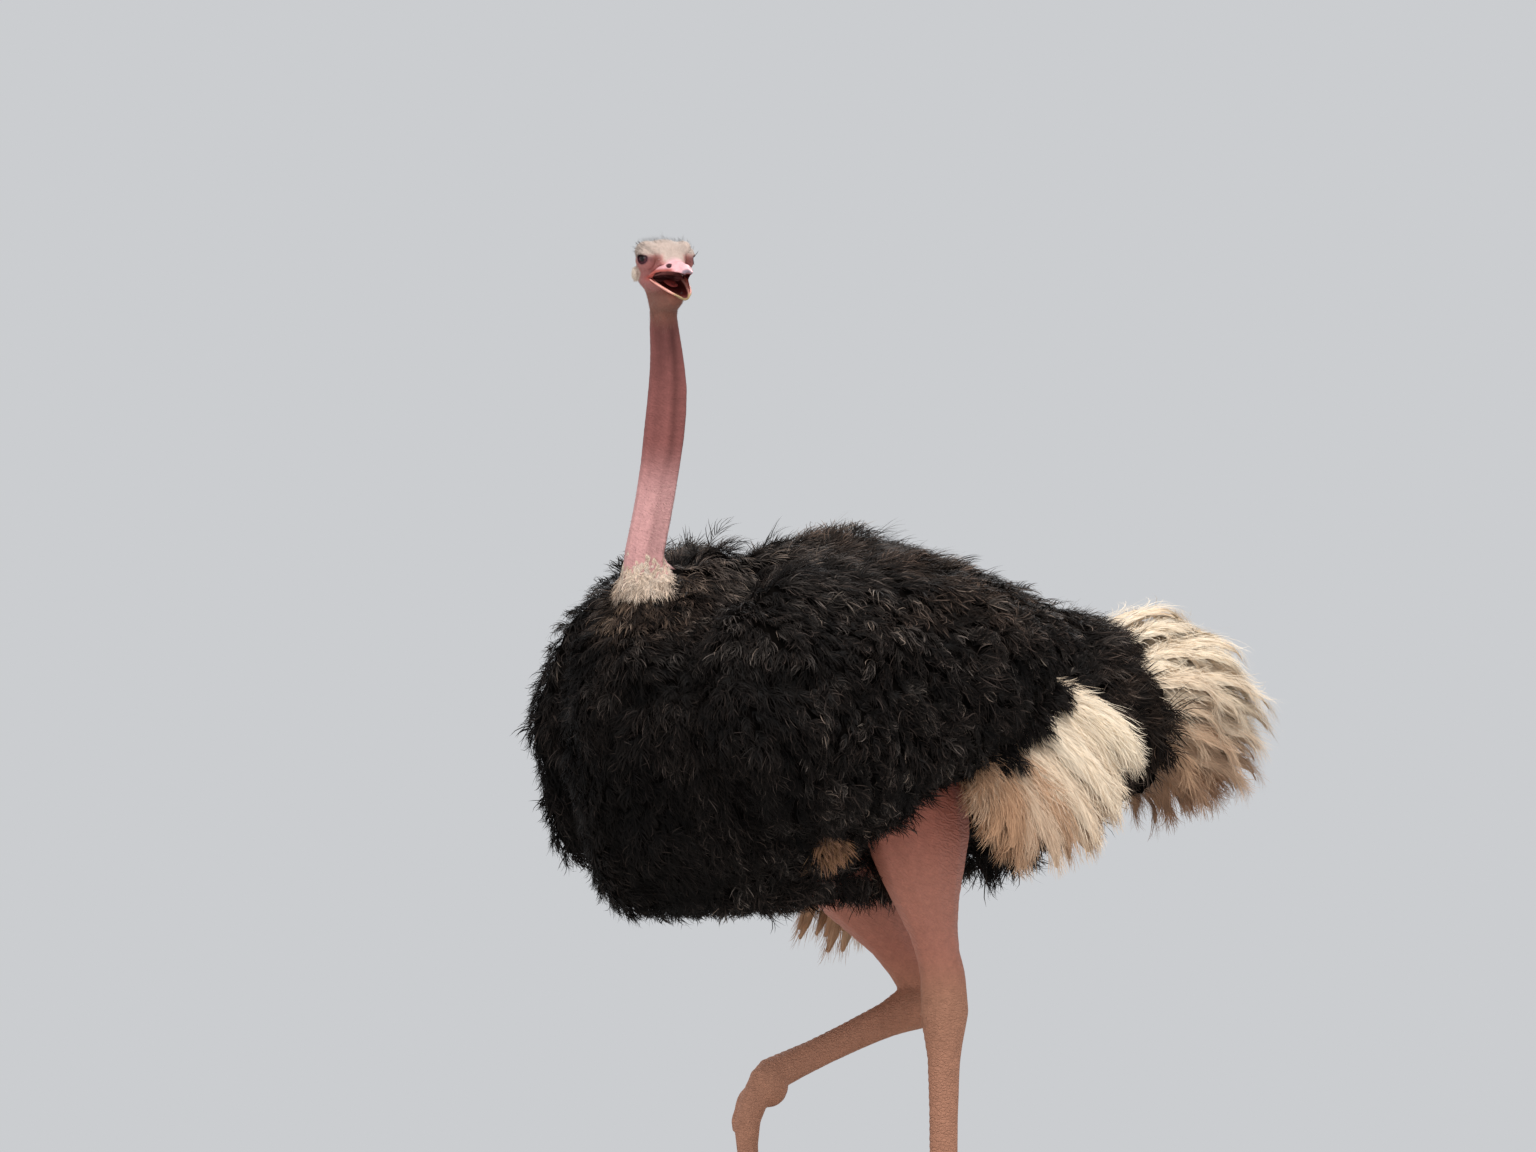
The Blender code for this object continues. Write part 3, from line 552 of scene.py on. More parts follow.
markingsLook = {
    "collarTop": 1.440,
    "collarFoot": 1.393,
    "flankTufts": (0.250, -0.225, 0.866),  # buff feathers that show under the wing
    "flankReach": (0.16, 0.080, 0.042),
    "legs": (  # where the legs' skin is bare: the middle and the reach, on the left and on the right
        ((0.13, 0.05, 0.78), (0.19, 0.26, 0.36)),
        ((-0.11, 0.06, 0.74), (0.19, 0.30, 0.36)),
    ),
    "underWings": (  # no tuft grows here, at the top of each thigh
        ((0.16, 0.02, 0.93), (0.16, 0.17, 0.13)),
        ((-0.13, 0.02, 0.88), (0.15, 0.17, 0.13)),
    ),
}


def plumageColour(points, shuffle):
    # the coat's colour at each root: black, browner on the back, the rump and round the neck's foot
    colours = np.tile(plumageColours["black"], (len(points), 1))
    streaks = ramp(waves(points * [2.2, 1.0, 2.2], 5.5, 3.0), -0.25, 0.35)
    onTop = ramp(points[:, 2], 1.26, 1.44) * ramp(points[:, 1], -0.34, -0.10)
    onRump = ramp(points[:, 1], 0.40, 0.56)
    brown = (0.25 + 0.75 * streaks) * np.maximum(onTop * 0.75, onRump) * ramp(shuffle, 0.0, 0.7)
    colours = blended(colours, plumageColours["brown"], brown)
    away = fromNeck(points)[0]
    nearNeck = (1 - ramp(away, 0.07, 0.20)) * ramp(points[:, 2], 1.20, 1.31)
    colours = blended(colours, plumageColours["brown"], nearNeck * ramp(shuffle, 0.25, 0.8))
    inFront = (1 - ramp(away, 0.085, 0.13)) * (points[:, 1] < -0.47)
    colours = blended(colours, plumageColours["straw"], nearNeck * inFront * ramp(shuffle, 0.65, 0.95))
    # painted highlights: the glint colour over the mantle and on scattered tufts, fewer at the shaded front
    mantle = nearness(points, (0.06, -0.38, 1.45), (0.26, 0.18, 0.20))
    colours = blended(colours, plumageColours["glint"], 0.8 * mantle * ramp(shuffle, 0.2, 1.0))
    front = ramp(points[:, 1], -0.36, -0.50) * ramp(points[:, 2], 1.30, 1.15)
    return blended(colours, plumageColours["glint"], 0.45 * ramp(shuffle, 0.72, 1.0) * (1 - 0.8 * front))


facePlaces = {  # patches of the face's left side, in the head's coordinates: the middle and the reach
    "lores": ((0.030, 0.035, -0.006), (0.024, 0.018, 0.020)),
    "hollow": ((0.034, 0.032, -0.010), (0.018, 0.016, 0.014)),
    "ear": ((-0.040, 0.050, -0.034), (0.020, 0.016, 0.022)),
    # dusky skin and painted shade in front of the eye
    "eyeCornerShade": ((0.025, 0.045, -0.005), (0.013, 0.012, 0.013)),
    "mouthCorner": ((0.010, 0.042, -0.042), (0.030, 0.014, 0.012)),
}


def onFace(local, name):  # 1 at the middle of a patch and of its mirror image, 0 at their edges
    return nearness(local * np.where(local[:, 1:2] < 0, [1, -1, 1], 1), *facePlaces[name])


def faceColour(local):
    x, y, z = local[:, 0], np.abs(local[:, 1]), local[:, 2]
    face = np.tile(skinColours["face"], (len(local), 1))
    crown = ramp(z, -0.010, 0.010) * ramp(x, 0.054, 0.042)
    nape = ramp(x, -0.020, -0.045) * ramp(z, -0.05, 0.0)
    forehead = ramp(y, 0.030, 0.018) * ramp(z, -0.022, -0.004) * ramp(x, 0.062, 0.048)
    face = blended(face, skinColours["crown"], np.maximum.reduce([crown, nape, forehead]))
    face = blended(face, skinColours["billRoot"], ramp(x, 0.044, 0.054) * ramp(y, 0.026, 0.016))
    face = blended(face, skinColours["throat"], ramp(z, -0.060, -0.078))
    face = blended(face, skinColours["lores"], onFace(local, "lores"))
    face = blended(face, plumageColours["down"], ramp(onFace(local, "ear"), 0.0, 0.4))
    # dusky skin and painted shade in front of each eye, in the lids' colour
    face = blended(face, skinColours["lid"], 0.6 * onFace(local, "eyeCornerShade"))
    return blended(face, skinColours["gape"], onFace(local, "mouthCorner"))


def skinColour(points):
    # dark under the coat, then the neck, the head, the inside of the mouth, the legs and the lids
    height, count = points[:, 2], len(points)
    away, _ = fromNeck(points)
    onNeck = np.clip(ramp(height, 1.378, 1.392) * (away < 0.056) + (height > 1.62) * (away < 0.2), 0, 1)
    cords, furrow, wander = neckCords(points)
    neck = np.tile(skinColours["neckLow"], (count, 1))
    # the neck darker towards its top: partly its own darker skin, partly painted shadow cast by the head
    neck = blended(neck, skinColours["neckTopShadowed"], ramp(height + 0.03 * wander, 1.55, 1.70))
    # painted light and shade over the neck's relief: ridges lighter, the long furrow darker
    neck *= (1 + 0.18 * cords - 0.36 * furrow)[:, None]
    colours = blended(np.tile(skinColours["under"], (count, 1)), neck, onNeck)
    local, jaw = localTo(headMatrix(), points), localTo(jawMatrix(), points)
    inHead = ramp(np.linalg.norm(local - [0.01, 0, -0.03], axis=1), 0.130, 0.085)
    colours = blended(colours, faceColour(local), inHead)
    inMouth = (ramp(local[:, 2], -0.0385, -0.0415) * ramp(jaw[:, 2], -0.0345, -0.0315)
               * ramp(local[:, 0], -0.022, -0.014) * ramp(np.abs(local[:, 1]), 0.0405, 0.0385))
    colours = blended(colours, skinColours["mouth"], inMouth * (inHead > 0))
    onLeg = np.maximum.reduce([nearness(points, *leg) for leg in markingsLook["legs"]])
    onLeg = np.maximum(ramp(onLeg, 0.0, 0.12), ramp(height, 0.72, 0.70)) * ramp(height, 1.06, 1.03)
    # painted shadow from the wing and coat over the thigh's top, lighter lower down
    thigh = np.tile(skinColours["thighTopShadowed"], (count, 1))
    thigh = blended(thigh, skinColours["thighLow"], ramp(height, 0.98, 0.72))
    colours = blended(colours, thigh, onLeg)
    colours = blended(colours, skinColours["shank"], ramp(height, 0.66, 0.53))
    colours = blended(colours, skinColours["foot"], ramp(height, 0.20, 0.12))
    for side in sides:
        reach, _, edge = eyeAngles(points, side)
        # the lids' dark skin round each opening, partly painted shade from the brow
        onLid = ramp(edge, 14, 3) * (reach < 0.029) * (reach > 0.0225)
        colours = blended(colours, skinColours["lid"], onLid)
    return colours


def skinRelief(points, feathered):  # how strong the pores, the wrinkles and the scales are
    height = points[:, 2]
    wrinkles = 0.20 + 0.80 * ramp(height, 1.1, 0.9) * ramp(height, 0.56, 0.70)
    relief = np.stack([ramp(height, 0.62, 0.72), wrinkles, ramp(height, 0.66, 0.52)], axis=1)
    return relief * ~feathered[:, None]


skinLook = {
    "bodyCell": 0.016,
    "headCell": 0.0024,
    "legCell": 0.0050,
    "coatDepth": 0.034,
    "breastDepth": 0.030,
    "tailDepth": 0.012,  # more off the end of the rump, where the plumes root
    "rumpEnd": 0.625,  # the rump's skin is drawn in past this, under the tail's plumes
    "rumpFold": 0.04,
    "dip": (-0.246, 0.045, 0.030),  # behind the neck: how far along its slant, its reach and its depth
    "dipSlant": (0.5736, 0.8192, 0.0),
    "clumps": 0.024,  # how far the coat's big clumps stand up
    "clumpScale": 7.5,
    "full": (  # where the skin is drawn in less: the place, its reach, and how much less
        ((-0.14, -0.53, 1.42), (0.10, 0.09, 0.12), 0.020),
        ((0.00, 0.36, 0.84), (0.22, 0.16, 0.14), 0.034),
        ((0.05, 0.02, 0.80), (0.16, 0.18, 0.12), 0.020),
    ),
    "plates": 0.0011,  # how high the shank's plates stand
    "plateLength": 0.017,
    "thighFolds": 0.0008,  # how high the folds stand
    "throatFolds": 0.0005,
    "loresDepth": 0.0030,
    "underBill": 0.0022,  # how deep the forehead's edge lies in the upper bill
}
bodyNodes = ("trunk", "wing_left", "wing_right", "rump", "neck_lower")
neckNodes = ("head", "ear_left", "ear_right", "neck_upper", "neck_middle", "neck_lower")
legParts = ("thigh", "shank", "foot", "toe_inner", "toe_outer")


def inDip(points):  # the saddle between the neck's foot and the top of the wings
    middle, reach, _ = skinLook["dip"]
    return hump(points @ np.array(skinLook["dipSlant"]), middle, reach) * ramp(points[:, 2], 1.34, 1.42)


def clumpsOf(points):  # how high the coat stands at each point, from 0 in its creases to 1
    scaled, scale = points * [1.0, 1.0, 0.75], skinLook["clumpScale"]
    return 0.7 * mounds(scaled, scale, 2.0) + 0.3 * mounds(scaled, scale * 2.2, 6.0)


def makeBodySkin():
    # the body without its feathers: all of it drawn in by the coat's depth, less towards the neck
    body = remeshed(flesh(bodyNodes, 0.003), "bodySkin", skinLook["bodyCell"])
    mesh = body.data
    relax(mesh, 2)
    points = pointsOf(mesh)
    atNeck = ramp(points[:, 2], 1.30, 1.40) * (1 - ramp(fromNeck(points)[0], 0.055, 0.085))
    depth = skinLook["coatDepth"] - skinLook["clumps"] * (clumpsOf(points) - 0.45)
    depth += (skinLook["breastDepth"] - skinLook["coatDepth"]) * ramp(points[:, 1], -0.30, -0.50)
    depth += skinLook["tailDepth"] * ramp(points[:, 1], 0.50, 0.66) + skinLook["dip"][2] * inDip(points)
    for place, reach, less in skinLook["full"]:
        depth -= less * nearness(points, place, reach)
    depth *= 1 - atNeck * 0.9
    points -= normalsOf(mesh) * depth[:, None]
    past, fold = np.maximum(points[:, 1] - skinLook["rumpEnd"], 0), skinLook["rumpFold"]
    points[:, 1] -= past - fold * (1 - np.exp(-past / fold))
    setPoints(mesh, points)
    recelled(body, skinLook["bodyCell"] * 0.85)
    relax(body.data, 1)
    return unwrapped(body)


def seatLids(points, normals, side):  # the skin round an eye drawn to its ball, as a bed for the lids
    reach, angle, _ = eyeAngles(points, side)
    ball = 0.0244 + 0.0018 * ramp(angle, 41, 47)
    share = ramp(angle + 900 * np.maximum(reach - 0.0262, 0), 76, 48)
    share *= ramp(reach, 0.006, 0.010) * ramp(reach, 0.060, 0.050)
    outward = points - np.array(boxCentre("eye_" + side))
    facing = ramp(np.sum(normals * unit(outward), axis=1), -0.2, 0.3)
    wanted = np.maximum(reach + (ball - reach) * share, 0.0258 * ramp(angle, 100, 86))
    points += outward * (facing * (wanted / np.maximum(reach, 1e-3) - 1))[:, None]


def tuckUnderBill(points, local):  # the forehead's edge pushed in under the root of the upper bill
    fade = ramp(local[:, 0], 0.037, 0.051) * (local[:, 2] > -0.030)
    tree = BVHTree.FromObject(nodes["bill_upper"], bpy.context.evaluated_depsgraph_get())
    for k in np.nonzero(fade > 0)[0]:
        at, face, _, _ = tree.find_nearest(Vector(points[k]))
        height = (Vector(points[k]) - at).dot(face)
        if height > -0.003:
            points[k] -= np.array(face) * (height + skinLook["underBill"]) * fade[k]


def makeNeckSkin():
    # the neck's cords and rings, the hollow before each eye, the beds of the lids and the throat's folds
    bm = flesh(neckNodes, 0.0006)
    cut = bmesh.ops.bisect_plane(bm, geom=bm.verts[:] + bm.edges[:] + bm.faces[:],
                                 plane_co=(0, 0, neckLook["foot"]), plane_no=(0, 0, 1), clear_inner=True)
    bmesh.ops.holes_fill(bm, edges=[e for e in cut["geom_cut"] if isinstance(e, bmesh.types.BMEdge)])
    bmesh.ops.recalc_face_normals(bm, faces=bm.faces)
    neck = remeshed(bm, "neckSkin", skinLook["headCell"])
    mesh = neck.data
    relax(mesh, 3, 1.0, 0.4)
    points, normals = pointsOf(mesh), normalsOf(mesh)
    cords, furrow, wander = neckCords(points)
    height, around = points[:, 2], fromNeck(points)[1]
    rings = np.sin(height * 420 + 3.0 * np.cos(around * 2) + 9 * wander) * (0.4 + 0.6 * np.abs(wander))
    lift = cords * neckLook["ridges"] + rings * neckLook["rings"] - furrow * neckLook["groove"][2]
    points += normals * (lift * ramp(height, 1.34, 1.44) * ramp(height, 1.99, 1.93))[:, None]
    local = localTo(headMatrix(), points)
    points -= normals * (onFace(local, "hollow") * skinLook["loresDepth"])[:, None]
    for side in sides:
        seatLids(points, normals, side)
    onThroat = ramp(local[:, 2], -0.058, -0.072) * ramp(local[:, 2], -0.125, -0.105)
    folds = np.sin(local[:, 2] * 620 + 4 * np.sin(local[:, 1] * 60))
    points += normals * (folds * onThroat * skinLook["throatFolds"])[:, None]
    tuckUnderBill(points, local)
    setPoints(mesh, points)
    underJaw = ramp(local[:, 2], -0.150, -0.120) * ramp(local[:, 2], -0.052, -0.080)
    relax(mesh, 50, underJaw, 0.6)
    behindBill = ramp(local[:, 0], 0.026, 0.034) * ramp(local[:, 0], 0.056, 0.048)
    relax(mesh, 14, behindBill * ramp(local[:, 2], -0.034, -0.026), 0.6)
    return neck


def makeLegSkin(side):
    # overlapping plates down the front of the shank and toes, and creases over the thigh
    leg = remeshed(flesh([f"{part}_{side}" for part in legParts], 0.0006), "legSkin", skinLook["legCell"])
    mesh = leg.data
    relax(mesh, 3, 1.0, 0.4)
    points, normals = pointsOf(mesh), normalsOf(mesh)
    low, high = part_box("shank_" + side)
    hock = np.array([(low.x + high.x) / 2, high.y - 0.05, high.z - 0.06])
    along = unit(np.array(boxCentre("foot_" + side)) - hock)
    plate = (((points - hock) @ along) / skinLook["plateLength"]) % 1.0
    step = ramp(plate, 0.0, 0.85) * (1 - ramp(plate, 0.85, 1.0))
    forward = unit(np.cross(along, (1, 0, 0)))
    front = normals @ (forward * -math.copysign(1, forward[1]))
    onShank = ramp(points[:, 2], high.z - 0.01, high.z - 0.08)
    points += normals * (step * ramp(front, 0.35, 0.75) * onShank * skinLook["plates"])[:, None]
    onThigh = ramp(points[:, 2], high.z - 0.04, high.z + 0.05)
    points += normals * (waves(points * [1, 1, 3], 42, 1.0) * onThigh * skinLook["thighFolds"])[:, None]
    setPoints(mesh, points)
    return leg


def makeLids(side):
    # a domed pair of lids with a heavy, straight upper edge, sunk into the face at its rim
    centre, axis, ahead, up = eyeFrame(side)
    bm = bmesh.new()
    bmesh.ops.create_uvsphere(bm, u_segments=56, v_segments=44, radius=1.0)
    # a band of the sphere is kept, and stretched from the opening to the rim
    capped = [v for v in bm.verts if v.co.z > 0.955 or v.co.z < 0.30]
    bmesh.ops.delete(bm, geom=capped, context="VERTS")
    angles = [math.acos(v.co.z) for v in bm.verts]
    first, last = min(angles), max(angles)
    for vert, angle in zip(bm.verts, angles):
        turn = math.atan2(vert.co.y, vert.co.x)
        share = (angle - first) / (last - first)
        opening = lidOpening(turn)
        angle = opening + share * (math.radians(eyeLook["lidRim"]) - opening)
        heavy = max(0.0, math.sin(turn))
        crease = hump(angle - opening, 0.20, 0.05) * 0.0007
        reach = eyeLook["lidAt"] + 0.0014 * min(1, (angle - opening) / 0.10) - crease
        reach += 0.0012 * heavy * hump(angle - opening, 0.08, 0.10) - 0.0030 * ramp(angle, 1.15, 1.40)
        out = axis * math.cos(angle) + (ahead * math.cos(turn) + up * math.sin(turn)) * math.sin(angle)
        vert.co = centre + out * reach
    bmesh.ops.recalc_face_normals(bm, faces=bm.faces)
    bmesh.ops.solidify(bm, geom=bm.faces[:], thickness=eyeLook["lidThick"])
    bmesh.ops.recalc_face_normals(bm, faces=bm.faces)
    return bm


gapeLook = {
    "corner": (-0.006, 0.040, -0.0410),
    "upper": ((0.012, 0.0420, -0.0385), (0.036, 0.0374, -0.0325),  # along the rim of each half of the bill
              (0.072, 0.0264, -0.0300), (0.096, 0.0180, -0.0300)),
    "lower": ((0.014, 0.0402, -0.0336), (0.040, 0.0363, -0.0336),
              (0.070, 0.0268, -0.0334), (0.090, 0.0175, -0.0338)),
    "hollow": 0.36,  # how far back its free edge is drawn
    "long": {"left": 1.0, "right": 0.48},  # the share of the rim that it follows
    "tuck": 0.0035,  # how far it sags inward
    "lift": {"left": 0.0055, "right": 0.0},  # how far its upper edge is drawn up near the corner
    "thick": 0.0016,
}


def makeGape(side):
    # the skin that stretches between the bill's two edges at the corner of the mouth
    mirror = np.array([1, sides[side], 1])
    corner = worldFrom(headMatrix(), np.array([gapeLook["corner"]]) * mirror)
    upper = np.vstack([corner, worldFrom(headMatrix(), np.array(gapeLook["upper"]) * mirror)])
    lower = np.vstack([corner, worldFrom(jawMatrix(), np.array(gapeLook["lower"]) * mirror)])
    inward = np.array(headMatrix().to_3x3() @ Vector((0, -sides[side], 0)))
    lift = np.array(headMatrix())[:3, 2] * gapeLook["lift"][side]
    bm = bmesh.new()
    bmesh.ops.create_grid(bm, x_segments=14, y_segments=12, size=1)
    for vert in bm.verts:
        out, down = (vert.co.x + 1) / 2, (vert.co.y + 1) / 2
        bow = math.sin(math.pi * down)
        out *= gapeLook["long"][side] * (1 - gapeLook["hollow"] * bow)
        place = alongLine(upper, [out])[0] * (1 - down) + alongLine(lower, [out])[0] * down
        place += lift * (1 - down) * math.sin(math.pi * min(1, out * 2.2))
        vert.co = Vector(place + inward * gapeLook["tuck"] * bow * min(1, out * 3))
    bmesh.ops.solidify(bm, geom=bm.faces[:], thickness=gapeLook["thick"])
    bmesh.ops.recalc_face_normals(bm, faces=bm.faces)
    return bm


def addTo(bm, made):  # one bmesh put into another; the new vertices are given as a slice
    added = bpy.data.meshes.new("fold")
    made.to_mesh(added)
    made.free()
    start = len(bm.verts)
    bm.from_mesh(added)
    bpy.data.meshes.remove(added)
    return slice(start, len(bm.verts))


def makeSkin(body):
    bm = bmesh.new()
    bm.from_mesh(body.data)
    material = skinMaterial()
    skin = objectFrom(bm, "skin", material)
    legs = [makeLegSkin(side) for side in sides]
    print("skin: body and legs")
    united(skin, *legs, makeNeckSkin())
    mesh = skin.data
    print("skin:", len(mesh.vertices), "points in one surface, then the lids and the corners of the mouth")
    bm = bmesh.new()
    bm.from_mesh(mesh)
    corners = {}
    for side in sides:
        addTo(bm, makeLids(side))
        corners[side] = addTo(bm, makeGape(side))
    bm.to_mesh(mesh)
    bm.free()
    mesh.shade_smooth()
    points, normals = pointsOf(mesh), normalsOf(mesh)
    colours = skinColour(points)
    for side, part in corners.items():
        outside = ramp(normals[part] @ np.array(headMatrix())[:3, 1] * sides[side], -0.1, 0.3)
        inner = np.tile(skinColours["mouth"], (len(outside), 1))
        colours[part] = blended(inner, skinColours["gape"], outside)
    setColours(mesh, "tint", colours)
    feathered = colours.sum(axis=1) < 1.5 * skinColours["under"].sum()
    setColours(mesh, "relief", skinRelief(points, feathered))
    fleshNodes = dict.fromkeys(bodyNodes + neckNodes)
    legNodes = [f"{part}_{side}" for part in legParts for side in sides]
    finishPiece(skin, material, "bare_skin", *fleshNodes, *legNodes)
    return skin


def makeEye(side, material):
    low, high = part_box("eye_" + side)
    radius = (high.x - low.x) / 2
    centre, axis, _, _ = eyeFrame(side)
    bulge, wide = eyeLook["cornea"]
    bm = bmesh.new()
    bmesh.ops.create_uvsphere(bm, u_segments=40, v_segments=40, radius=radius)
    angles = []
    for vert in bm.verts:
        angle = math.acos(max(-1, min(1, vert.co.z / radius)))
        vert.co *= 1 + bulge * max(0.0, 1 - (angle / wide) ** 2) / radius
        angles.append(math.degrees(angle))
    turned = axis.to_track_quat("Z", "Y").to_matrix().to_4x4()
    bmesh.ops.transform(bm, verts=bm.verts, matrix=Matrix.Translation(centre) @ turned)
    eye = objectFrom(bm, "eyeball_" + side)
    angles = np.array(angles)
    streak = 0.5 + 0.5 * np.sin(np.arange(len(angles)) * 2.399)
    iris = blended(np.tile(eyeLook["iris"], (len(angles), 1)), eyeLook["irisLight"], streak * 0.5)
    rim, pupil = eyeLook["irisEdge"], eyeLook["pupilEdge"]
    colours = blended(iris, eyeLook["white"], ramp(angles, rim - 1, rim + 1))
    colours = blended(colours, eyeLook["pupil"], ramp(angles, pupil + 1, pupil - 1))
    setColours(eye.data, "tint", colours)
    finishPiece(eye, material, "eye_gloss", "eye_" + side)


lashLook = {
    "upper": (19, 12, 168, 0.0135),  # how many, from and to which turn round the eye, and how long
    "lower": (9, 205, 335, 0.0060),
    "from": 0.0255,  # the roots' distance from the eye's centre
    "thick": 0.00050,
    "colour": paint(20, 16, 15),
}


def makeLashes(side, material):
    centre, axis, ahead, up = eyeFrame(side)
    bm = bmesh.new()
    for row, lift in (("upper", up), ("lower", -up)):
        number, first, last, length = lashLook[row]
        for k in range(number):
            turn = math.radians(first + (last - first) * k / (number - 1))
            angle = lidOpening(turn) + 0.03
            outward = ahead * math.cos(turn) + up * math.sin(turn)
            root = centre + (axis * math.cos(angle) + outward * math.sin(angle)) * lashLook["from"]
            long = length * (0.55 + 0.4 * rng.random()) * (1 - 0.35 * abs(math.cos(turn)))
            heading = (axis * 0.9 + outward * 0.6).normalized()
            bend = lift * 0.8 + outward * 0.3
            across = heading.to_track_quat("Z", "Y").to_matrix().to_4x4()
            ring = None
            for step in range(5):
                t = step / 4
                place = root + heading * long * t + bend * long * 0.45 * t * t
                made = bmesh.ops.create_circle(bm, segments=4, radius=lashLook["thick"] * (1 - 0.85 * t),
                                               matrix=Matrix.Translation(place) @ across)
                edges = list({e for v in made["verts"] for e in v.link_edges})
                if ring:
                    bmesh.ops.bridge_loops(bm, edges=ring + edges)
                else:
                    bmesh.ops.contextual_create(bm, geom=edges)
                ring = edges
            bmesh.ops.contextual_create(bm, geom=ring)
    bmesh.ops.recalc_face_normals(bm, faces=bm.faces)
    lashes = objectFrom(bm, "lashes_" + side)
    setColours(lashes.data, "tint", np.tile(lashLook["colour"], (len(lashes.data.vertices), 1)))
    finishPiece(lashes, material, "black_plumage")


billLook = {
    "cell": 0.0010,
    "tongueCell": 0.0009,
    "nostril": (0.0645, 0.0215, -0.0192),
    "nostrilAxes": ((0.0084, 0.0015), (-0.0074, 0.0070)),  # along the bill, and up its side
    "nostrilDepth": 0.0022,
    # painted shade in the nostril
    "nostrilShade": paint(46, 6, 18),
    "slim": 0.0030,  # how much lower its tip is
    "culmen": 0.0016,  # how far the bar along the top stands up
    "pink": paint(210, 160, 164),
    "rose": paint(172, 88, 78),
    "roof": paint(112, 50, 45),
    "tip": paint(116, 100, 110),
    "edge": paint(232, 164, 150),
    "olive": paint(162, 138, 100),
    "chin": paint(158, 100, 96),
    "tongue": paint(150, 66, 62),
}


def billFrom(name, made, cell, matrix):  # a node's copy, its points in the head's or jaw's coordinates
    piece = remeshed(flesh([name]), made, cell)
    relax(piece.data, 5)
    turned = np.array(matrix)[:3, :3]
    points, normals = pointsOf(piece.data), normalsOf(piece.data)
    return piece, points, normals, localTo(matrix, points), normals @ turned


def makeUpperBill(material):
    bill, points, normals, local, facing = billFrom("bill_upper", "upperBill", billLook["cell"],
                                                    headMatrix())
    x, y, z = local[:, 0], np.abs(local[:, 1]), local[:, 2]
    # the bar along the top, the nail with a groove behind it, and a groove on each side of the bar
    lift = ramp(y, 0.0095, 0.0060) * ramp(x, 0.094, 0.082) * ramp(x, 0.015, 0.03) * billLook["culmen"]
    lift += ramp(x, 0.086, 0.090) * ramp(y, 0.011, 0.009) * 0.0010
    lift -= hump(x, 0.0865, 0.0016) * 0.0008
    lift -= hump(y, 0.0125, 0.0028) * ramp(x, 0.02, 0.035) * ramp(x, 0.088, 0.075) * 0.0010
    lift -= ramp(x, 0.070, 0.098) * ramp(facing[:, 2], 0.1, 0.7) * billLook["slim"]
    ahead, out, up = billLook["nostril"]
    away = np.stack([x - ahead, 0.7 * (out - y + z - up)], axis=1)
    away = np.linalg.norm(away @ np.linalg.inv(billLook["nostrilAxes"]), axis=1)
    hole = ramp(away, 1.15, 0.75)
    lift += hump(away, 1.35, 0.25) * 0.0005 - hole * billLook["nostrilDepth"]
    outside = ramp(facing[:, 2], -0.2, 0.1)
    setPoints(bill.data, points + normals * (lift * outside)[:, None])
    colours = np.tile(billLook["pink"], (len(points), 1))
    colours = blended(colours, billLook["rose"], ramp(z, -0.0235, -0.0300) * ramp(x, 0.094, 0.075))
    colours = blended(colours, billLook["tip"], ramp(x, 0.103, 0.109))
    colours = blended(colours, billLook["rose"], ramp(facing[:, 2], 0.1, -0.4))
    colours = blended(colours, billLook["roof"], ramp(facing[:, 2], -0.3, -0.9))
    # painted shade deep in the shallow nostril
    colours = blended(colours, billLook["nostrilShade"], ramp(hole, 0.1, 0.5))
    setColours(bill.data, "tint", eased(bill.data, colours, 2))
    finishPiece(bill, material, "horn", "bill_upper")


def makeLowerBill(material):
    bill, points, normals, local, facing = billFrom("bill_lower", "lowerBill", billLook["cell"],
                                                    jawMatrix())
    x, y, z = local[:, 0], np.abs(local[:, 1]), local[:, 2]
    lift = ramp(z, -0.0385, -0.0345) * 0.0008 + ramp(x, 0.084, 0.088) * ramp(y, 0.011, 0.009) * 0.0010
    lift -= hump(y, 0.012, 0.003) * ramp(x, 0.1, 0.08) * 0.0010
    downward = ramp(facing[:, 2], 0.1, -0.3)
    setPoints(bill.data, points + normals * (lift * downward)[:, None])
    inner = ramp(facing[:, 2], 0.25, 0.6) * ramp(z, -0.0348, -0.0364)
    colours = np.tile(billLook["chin"], (len(points), 1))
    colours = blended(colours, billLook["edge"], ramp(z, -0.0530, -0.0460))
    colours = blended(colours, billLook["olive"], ramp(x, 0.082, 0.100))
    colours = blended(colours, skinColours["mouth"], inner)
    setColours(bill.data, "tint", eased(bill.data, colours, 2))
    finishPiece(bill, material, "horn", "bill_lower")


def makeTongue():
    matrix = jawMatrix()
    tongue, points, _, local, facing = billFrom("tongue", "tongueFlesh", billLook["tongueCell"], matrix)
    furrow = hump(local[:, 1], 0, 0.002) * ramp(facing[:, 2], 0, 0.5) * 0.0008
    setPoints(tongue.data, points - furrow[:, None] * np.array(matrix)[:3, 2])
    setColours(tongue.data, "tint", np.tile(billLook["tongue"], (len(points), 1)))
    finishPiece(tongue, hornMaterial("tongueSkin", 0.3, 160), "tongue", "tongue")


def turnAbout(vectors, axes, angles):  # each vector turned about its own axis
    cos, sin = np.cos(angles)[:, None], np.sin(angles)[:, None]
    dot = np.sum(vectors * axes, axis=1, keepdims=True)
    return vectors * cos + np.cross(axes, vectors) * sin + axes * dot * (1 - cos)


